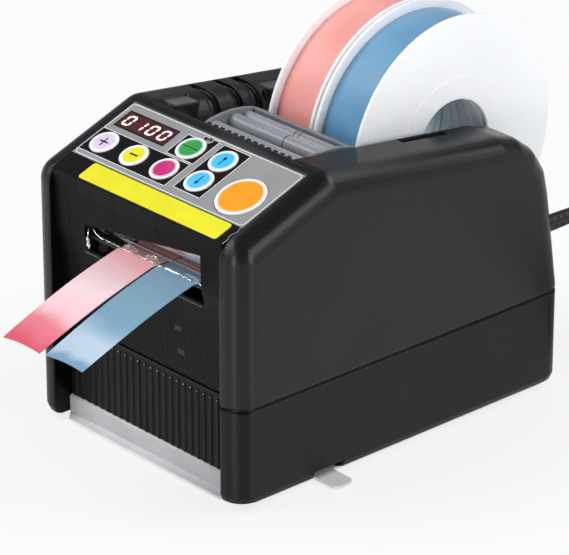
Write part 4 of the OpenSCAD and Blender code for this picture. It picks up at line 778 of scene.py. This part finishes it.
# lit segments lie on a wider red halo, the others are a little lighter than the window
digits = Shape()
for k, figure in enumerate("0100"):
    cx = DISPLAY[0] + (k - 1.5) * DIGIT_STEP
    for which in "abcdefg":
        lit = which in SEGMENTS[figure]
        for grow, top, mark in ((0.4, 0.012, 1), (0.0, 0.03, 0)) if lit else ((0.0, 0.01, 2),):
            shape = segment(which, DIGIT_W + grow, DIGIT_H + grow, STROKE + grow)
            digits.plate([(cx + a + b * SLANT, DISPLAY[1] + b) for a, b in shape], [], -0.05, top, S, mark)
digits.make("display_digits", "housing", [digit_glow, digit_halo, digit_off], (), angle=30)

# ---------------------------------------------------------------- pressing strip at the outlet
# a crumpled bright strip that presses on the tails: a sagging end, a toothed lower edge and bunched folds
film_bright = surface("film_bright", (0.8, 0.81, 0.83), (0.95, 0.95, 0.96), rough=0.12, rough2=0.3, metal=1.0,
                      patch=900, spread=(0.2, 0.8), grain=2600, grain_depth=0.01)
film_gold_glint = surface("film_gold_glint", (0.72, 0.5, 0.2), (0.86, 0.66, 0.34), rough=0.15, rough2=0.3, metal=1.0, patch=900,
                    grain=2600, grain_depth=0.008)
ROOT_Y, ROOT_Z = 5.3, 98.9
film = Shape()


def wobble(k, span):
    """A repeatable value between -span and span for the k-th fold."""
    q = math.sin(12.9898 * k + 4.1) * 43758.5453
    return span * (2 * (q - math.floor(q)) - 1)


def film_wire(points, r, mark=0):
    """Fold of the strip as a wire of radius r along a curve, in millimetres."""
    film.tube([P(*q) for q in smooth_path(points, 5)], r / 1000, mark, 6)


film_wire([(-38.2, 8.2, 103.6), (-36.6, 6.8, 102.6), (-34.2, 6.1, 101.2), (-31.4, 5.7, 99.9), (-28.2, 5.4, 99.1),
           (-26.0, ROOT_Y, ROOT_Z)], 0.24)
film_wire([(-38.2, 8.2, 102.9), (-35.5, 6.4, 101.7), (-32.6, 5.9, 100.0), (-29.0, 5.5, ROOT_Z)], 0.15)
teeth = []
for k in range(86):
    x = -28 + 0.8 * k
    teeth.append((x, ROOT_Y + 0.25 * (k % 2) + wobble(k, 0.12), ROOT_Z - 0.1 + 0.42 * (k % 2) + wobble(k + 90, 0.14)))
film.tube([P(*q) for q in teeth], 0.2 / 1000, 0, 6)
film.tube([P(x, y + 0.5, z - 0.1) for x, y, z in teeth], 0.16 / 1000, 0, 6)
film_wire([(39.0, ROOT_Y, ROOT_Z + 0.1), (40.6, 6.2, 99.0), (43.0, 8.1, 99.4)], 0.22)
# each bunch: first x, how many folds, their step and height
for bunch, (x0, folds, step, high) in enumerate(((-11.6, 7, 1.35, 3.6), (3.2, 7, 1.3, 3.4), (24.6, 3, 1.4, 1.0),
                                                 (29.8, 7, 1.25, 2.7))):
    for k in range(folds):
        seed = 17 * bunch + k
        rise = high * (0.72 + 0.28 * math.sin(math.pi * (k + 0.5) / folds)) + wobble(seed, 0.35)
        x = x0 + step * k
        lean = 0.5 + wobble(seed + 40, 0.45)
        film_wire([(x - 0.5, ROOT_Y, ROOT_Z), (x - 0.35 + lean * 0.4, ROOT_Y - 0.3, ROOT_Z + 0.55 * rise),
                   (x + lean, ROOT_Y - 0.2, ROOT_Z + rise),
                   (x + 0.55 + lean * 0.8, ROOT_Y + 0.2, ROOT_Z + 0.8 * rise),
                   (x + 0.75, ROOT_Y + 0.5, ROOT_Z + 0.1)], 0.17)
# one fold in gold metal: a painted glint
film_wire([(6.2, 5.0, 102.0), (7.6, 4.9, 102.7), (9.6, 4.9, 102.9), (11.4, 5.0, 102.4), (12.4, 5.2, 101.2)], 0.26, 1)
# the loose end hangs down in front of the left cheek
film_wire([(-37.4, 7.2, 102.9), (-36.4, 5.2, 100.6), (-35.9, 4.4, 97.6), (-35.7, 4.2, 94.6), (-35.5, 4.3, 92.4)],
          0.16)
for k in range(6):
    z = 96.2 - 0.7 * k
    film_wire([(-35.8, 4.3, z), (-36.4 + wobble(k, 0.5), 4.0, z + 0.9), (-34.9 + wobble(k + 9, 0.6), 3.9, z + 0.6),
               (-34.4 + wobble(k + 5, 0.5), 4.1, z - 0.5), (-35.6, 4.3, z - 0.4)], 0.13)
film.make("press_film", "cover", [film_bright, film_gold_glint], ["press_spring"], angle=60)

# painted highlights: pale tips on the fine teeth under the outlet; and small ticks moulded below it
COVER_CURVE = [(49.0, 9.5), (59.99, 8.5), (66.02, 7.9), (78.37, 6.8), (83.71, 6.1), (90.6, 5.0), (98.02, 3.3),
               (106.98, 3.0), (117.82, 2.6)]


def cover_y(z):
    """Depth of the front cover's face at height z."""
    for (z0, y0), (z1, y1) in zip(COVER_CURVE, COVER_CURVE[1:]):
        if z <= z1:
            return y0 + (y1 - y0) * (z - z0) / (z1 - z0)
    return COVER_CURVE[-1][1]


def tick(ticks, x, z, w, h, proud):
    """Small tick on the cover's face: its left lower corner, width, height and how far it stands proud."""
    y0, y1 = cover_y(z), cover_y(z + h)
    corners = ((0, 0.3), (w, 0.3), (w, -proud), (0, -proud))
    ticks.add([P(x + a, y + b, zz) for y, zz in ((y0, z), (y1, z + h)) for a, b in corners], BOX_FACES)


lip = Shape()
for x0, count in ((-38.6, 10), (-28.1, 1), (24.2, 17)):
    for k in range(count):
        tick(lip, x0 + 0.95 * k, 88.9 - (0.25 if k % 2 else 0), 0.42, 0.34, 0.12)
# pale material of painted highlights: the teeth's tips, the ribs' tips and the cover's stepped corner
painted_highlight_pale = surface("painted_highlight_pale", srgb(150, 150, 150), srgb(190, 190, 190), rough=0.4, patch=900, grain=2400,
                    grain_depth=0.004)
tick_dark = surface("tick_dark", srgb(84, 84, 84), srgb(120, 120, 120), rough=0.4, patch=900, grain=2400,
                    grain_depth=0.004)
lip.make("lip_ticks", "cover", painted_highlight_pale, (), angle=30)
marks = Shape()
for x0, z0 in ((19.6, 72.6), (20.4, 61.0)):
    for row in range(3):
        for k in range(4):
            tick(marks, x0 + 1.05 * k, z0 - 0.9 * row, 0.7, 0.3, 0.1)
marks.make("moulded_ticks", "cover", tick_dark, (), angle=30)

# painted highlight: a pale point at the upper end of each rib of the lower panel
RIB_STEP = 4.45
dots = Shape()
for k in range(-12, 13):
    x, y, z = RIB_STEP * k, 9.38, 44.1
    corners = ((-0.28, 0), (0.28, 0), (0.28, 0.46), (-0.28, 0.46))
    dots.add([P(x + a, y - c, z + b) for c in (-0.2, 0.1) for a, b in corners], BOX_FACES)
dots.make("rib_tips", "housing", painted_highlight_pale, (), angle=30)

# painted highlight: a thin pale line along the edge of the cover's stepped corner beside the right pillar
catch = Shape()
steps = [(56.9, 14.7), (56.6, 12.9), (57.4, 12.3), (57.2, 10.2), (56.5, 9.6), (56.4, 6.6), (57.3, 5.8), (57.2, 2.4)]
catch.tube([S(x, v, 0.12) for x, v in steps], 0.14 / 1000, 0, 6)
catch.make("cover_catch", "cover", painted_highlight_pale, (), angle=60)

# painted reflection: the floors of the two flat rests in the left wall's top are painted grey for the light they
# reflect
pads = Shape()
for y0, y1 in ((61.5, 75.0), (118.5, 142.5)):
    a0, a1 = (y0 - DECK_Y) / math.cos(TOP_FALL), (y1 - DECK_Y) / math.cos(TOP_FALL)
    pads.prism([(-50.4, a0), (-42.0, a0), (-42.0, a1), (-50.4, a1)], -1.32, -1.2, T)
rest_painted_sheen = surface("rest_painted_sheen", srgb(76, 76, 77), srgb(88, 88, 89), rough=0.34, rough2=0.46, patch=80, grain=1400,
                    grain_depth=0.006)
pads.make("rest_floors", "housing", rest_painted_sheen, (), angle=30)

# ---------------------------------------------------------------- guide unit
# x of the two cheeks, and as (y, z) outlines the bar between them and the dark dashes along its upper edge
GUIDE_X = (-22.0, 38.5)
BAR = [(62.4, 139.3), (63.8, 139.3), (63.8, 140.9), (62.9, 141.0), (62.4, 140.6)]
DASH = [(63.0, 140.6), (63.0, 141.02), (62.82, 141.02), (62.34, 140.62), (62.34, 140.38)]
DASH_LENGTH, DASH_STEP = 2.7, 4.4


def sideways(a, b, h):
    """Place for an outline in y and z that is extruded along x."""
    return P(h, a, b)


comb = Shape()
comb.prism(BAR, GUIDE_X[0] - 0.3, GUIDE_X[1] + 0.3, sideways, 0)
x = GUIDE_X[0] + 0.6
while x < GUIDE_X[1] - 2.9:
    comb.prism(DASH, x, x + DASH_LENGTH, sideways, 1)
    x += DASH_STEP
comb.make("guide_comb", "guide_unit", [roller_grey, print_black], (), angle=30)
# dark joints between the segments of the two rear rollers: roller, y and z of its axis, its radius, x of its joints
for body, axis_y, axis_z, r, xs in (("guide_roller_middle", 78.8, 136.7, 3.8, (14.0,)),
                                    ("guide_roller_rear", 86.6, 136.3, 3.3, (11.5, 14.5))):
    ring = Shape()
    for x in xs:
        ring.lathe([(r - 0.2, x - 0.25), (r + 0.03, x - 0.25), (r + 0.03, x + 0.25), (r - 0.2, x + 0.25)],
                   lambda a, b, h: P(h, axis_y + a, axis_z + b), 40, 0, closed=True)
    ring.make(body.replace("guide_", "") + "_joint", body, print_black, (), angle=40)

# ---------------------------------------------------------------- hub liners
# a thin liner in each spool's hub, with five raised rings inside
liner_blue = surface("liner_blue", srgb(222, 240, 250), srgb(232, 246, 252), rough=0.22, rough2=0.3, patch=60,
                     grain=1500, grain_depth=0.004)
liner_white = surface("liner_white", srgb(236, 240, 244), srgb(244, 246, 249), rough=0.22, rough2=0.3, patch=60,
                      grain=1500, grain_depth=0.004)
HUB_R, LINER_HALF = 22.0, 14.4
for name, body, x_mid, finish in (("hub_liner_left", "spool_left", SPOOL[0], liner_blue),
                                  ("hub_liner_right", "spool_right", SPOOL[1], liner_white)):
    liner = Shape()
    inner = [(HUB_R - 0.45, -LINER_HALF)]
    for h in (-9, -4, 1, 6, 11):
        inner += [(HUB_R - 0.45, h - 0.8), (HUB_R - 1.0, h - 0.3), (HUB_R - 1.0, h + 0.3), (HUB_R - 0.45, h + 0.8)]
    inner += [(HUB_R - 0.45, LINER_HALF)]
    outside = [(HUB_R - 0.02, LINER_HALF), (HUB_R - 0.02, -LINER_HALF)]
    liner.lathe(inner + outside, on_spool(x_mid), 96, closed=True)
    liner.make(name, body, finish, (), angle=40)

# ---------------------------------------------------------------- floor, world and light
# how white the floor is where it is seen, beside the light and shadow that fall on it
GLOW_SHARE = 0.78


def either(tree, first, second):
    """1 for rays of either kind, otherwise 0."""
    path = tree.nodes.new("ShaderNodeLightPath")
    seen = tree.nodes.new("ShaderNodeMath")
    seen.operation = "MAXIMUM"
    tree.links.new(path.outputs[first], seen.inputs[0])
    tree.links.new(path.outputs[second], seen.inputs[1])
    return seen.outputs[0]


def blend_to(tree, factor, low, high, output):
    """Mixes two shaders by the factor and leads them to the output."""
    mix = tree.nodes.new("ShaderNodeMixShader")
    tree.links.new(factor, mix.inputs[0])
    tree.links.new(low.outputs[0], mix.inputs[1])
    tree.links.new(high.outputs[0], mix.inputs[2])
    tree.links.new(mix.outputs[0], output.inputs["Surface"])


mesh = bpy.data.meshes.new("floor")
mesh.from_pydata([(-4, -4, 0), (4, -4, 0), (4, 4, 0), (-4, 4, 0)], [], [[0, 1, 2, 3]])
ground = bpy.data.objects.new("floor", mesh)
bpy.context.scene.collection.objects.link(ground)
ground.location = (0, 0, -0.00005)
floor_mat = bpy.data.materials.new("floor_white")
floor_mat.use_nodes = True
tree = floor_mat.node_tree
bsdf = tree.nodes["Principled BSDF"]
bsdf.inputs["Base Color"].default_value = (0.86, 0.86, 0.86, 1)
bsdf.inputs["Roughness"].default_value = 0.45
bsdf.inputs["Specular IOR Level"].default_value = 0.3
glow = tree.nodes.new("ShaderNodeEmission")
glow.inputs["Strength"].default_value = 1.0
share = tree.nodes.new("ShaderNodeMath")
share.operation = "MULTIPLY"
share.inputs[1].default_value = GLOW_SHARE
tree.links.new(either(tree, "Is Camera Ray", "Is Glossy Ray"), share.inputs[0])
blend_to(tree, share.outputs[0], bsdf, glow, tree.nodes["Material Output"])
mesh.materials.append(floor_mat)

world = bpy.data.worlds.new("studio")
bpy.context.scene.world = world
world.use_nodes = True
tree = world.node_tree
back = tree.nodes["Background"]
back.inputs["Color"].default_value = (0.9, 0.94, 1.0, 1)
back.inputs["Strength"].default_value = 0.35
white = tree.nodes.new("ShaderNodeBackground")
white.inputs["Color"].default_value = (1, 1, 1, 1)
white.inputs["Strength"].default_value = 1.0
blend_to(tree, either(tree, "Is Camera Ray", "Is Transmission Ray"), back, white, tree.nodes["World Output"])


def softbox(name, at, aim, size, power):
    """Rectangular light that looks from one point to another."""
    light = bpy.data.lights.new(name, "AREA")
    light.shape = "RECTANGLE"
    light.size, light.size_y = size
    light.energy = power
    obj = bpy.data.objects.new(name, light)
    bpy.context.scene.collection.objects.link(obj)
    obj.location = at
    obj.rotation_euler = (Vector(aim) - Vector(at)).to_track_quat("-Z", "Y").to_euler()


softbox("key_light", (-0.9, -0.9, 1.5), (0, 0, 0.08), (1.2, 1.2), 22)
softbox("back_light", (0.8, 1.1, 1.6), (0, 0.02, 0.1), (1.2, 0.8), 17)
softbox("low_light", (0.6, -1.7, 0.3), (0.05, 0, 0.08), (0.5, 0.34), 9)
softbox("side_light", (1.9, 0.2, 0.7), (0, 0, 0.08), (0.7, 0.9), 10.5)

bpy.context.scene.view_settings.view_transform = "Standard"
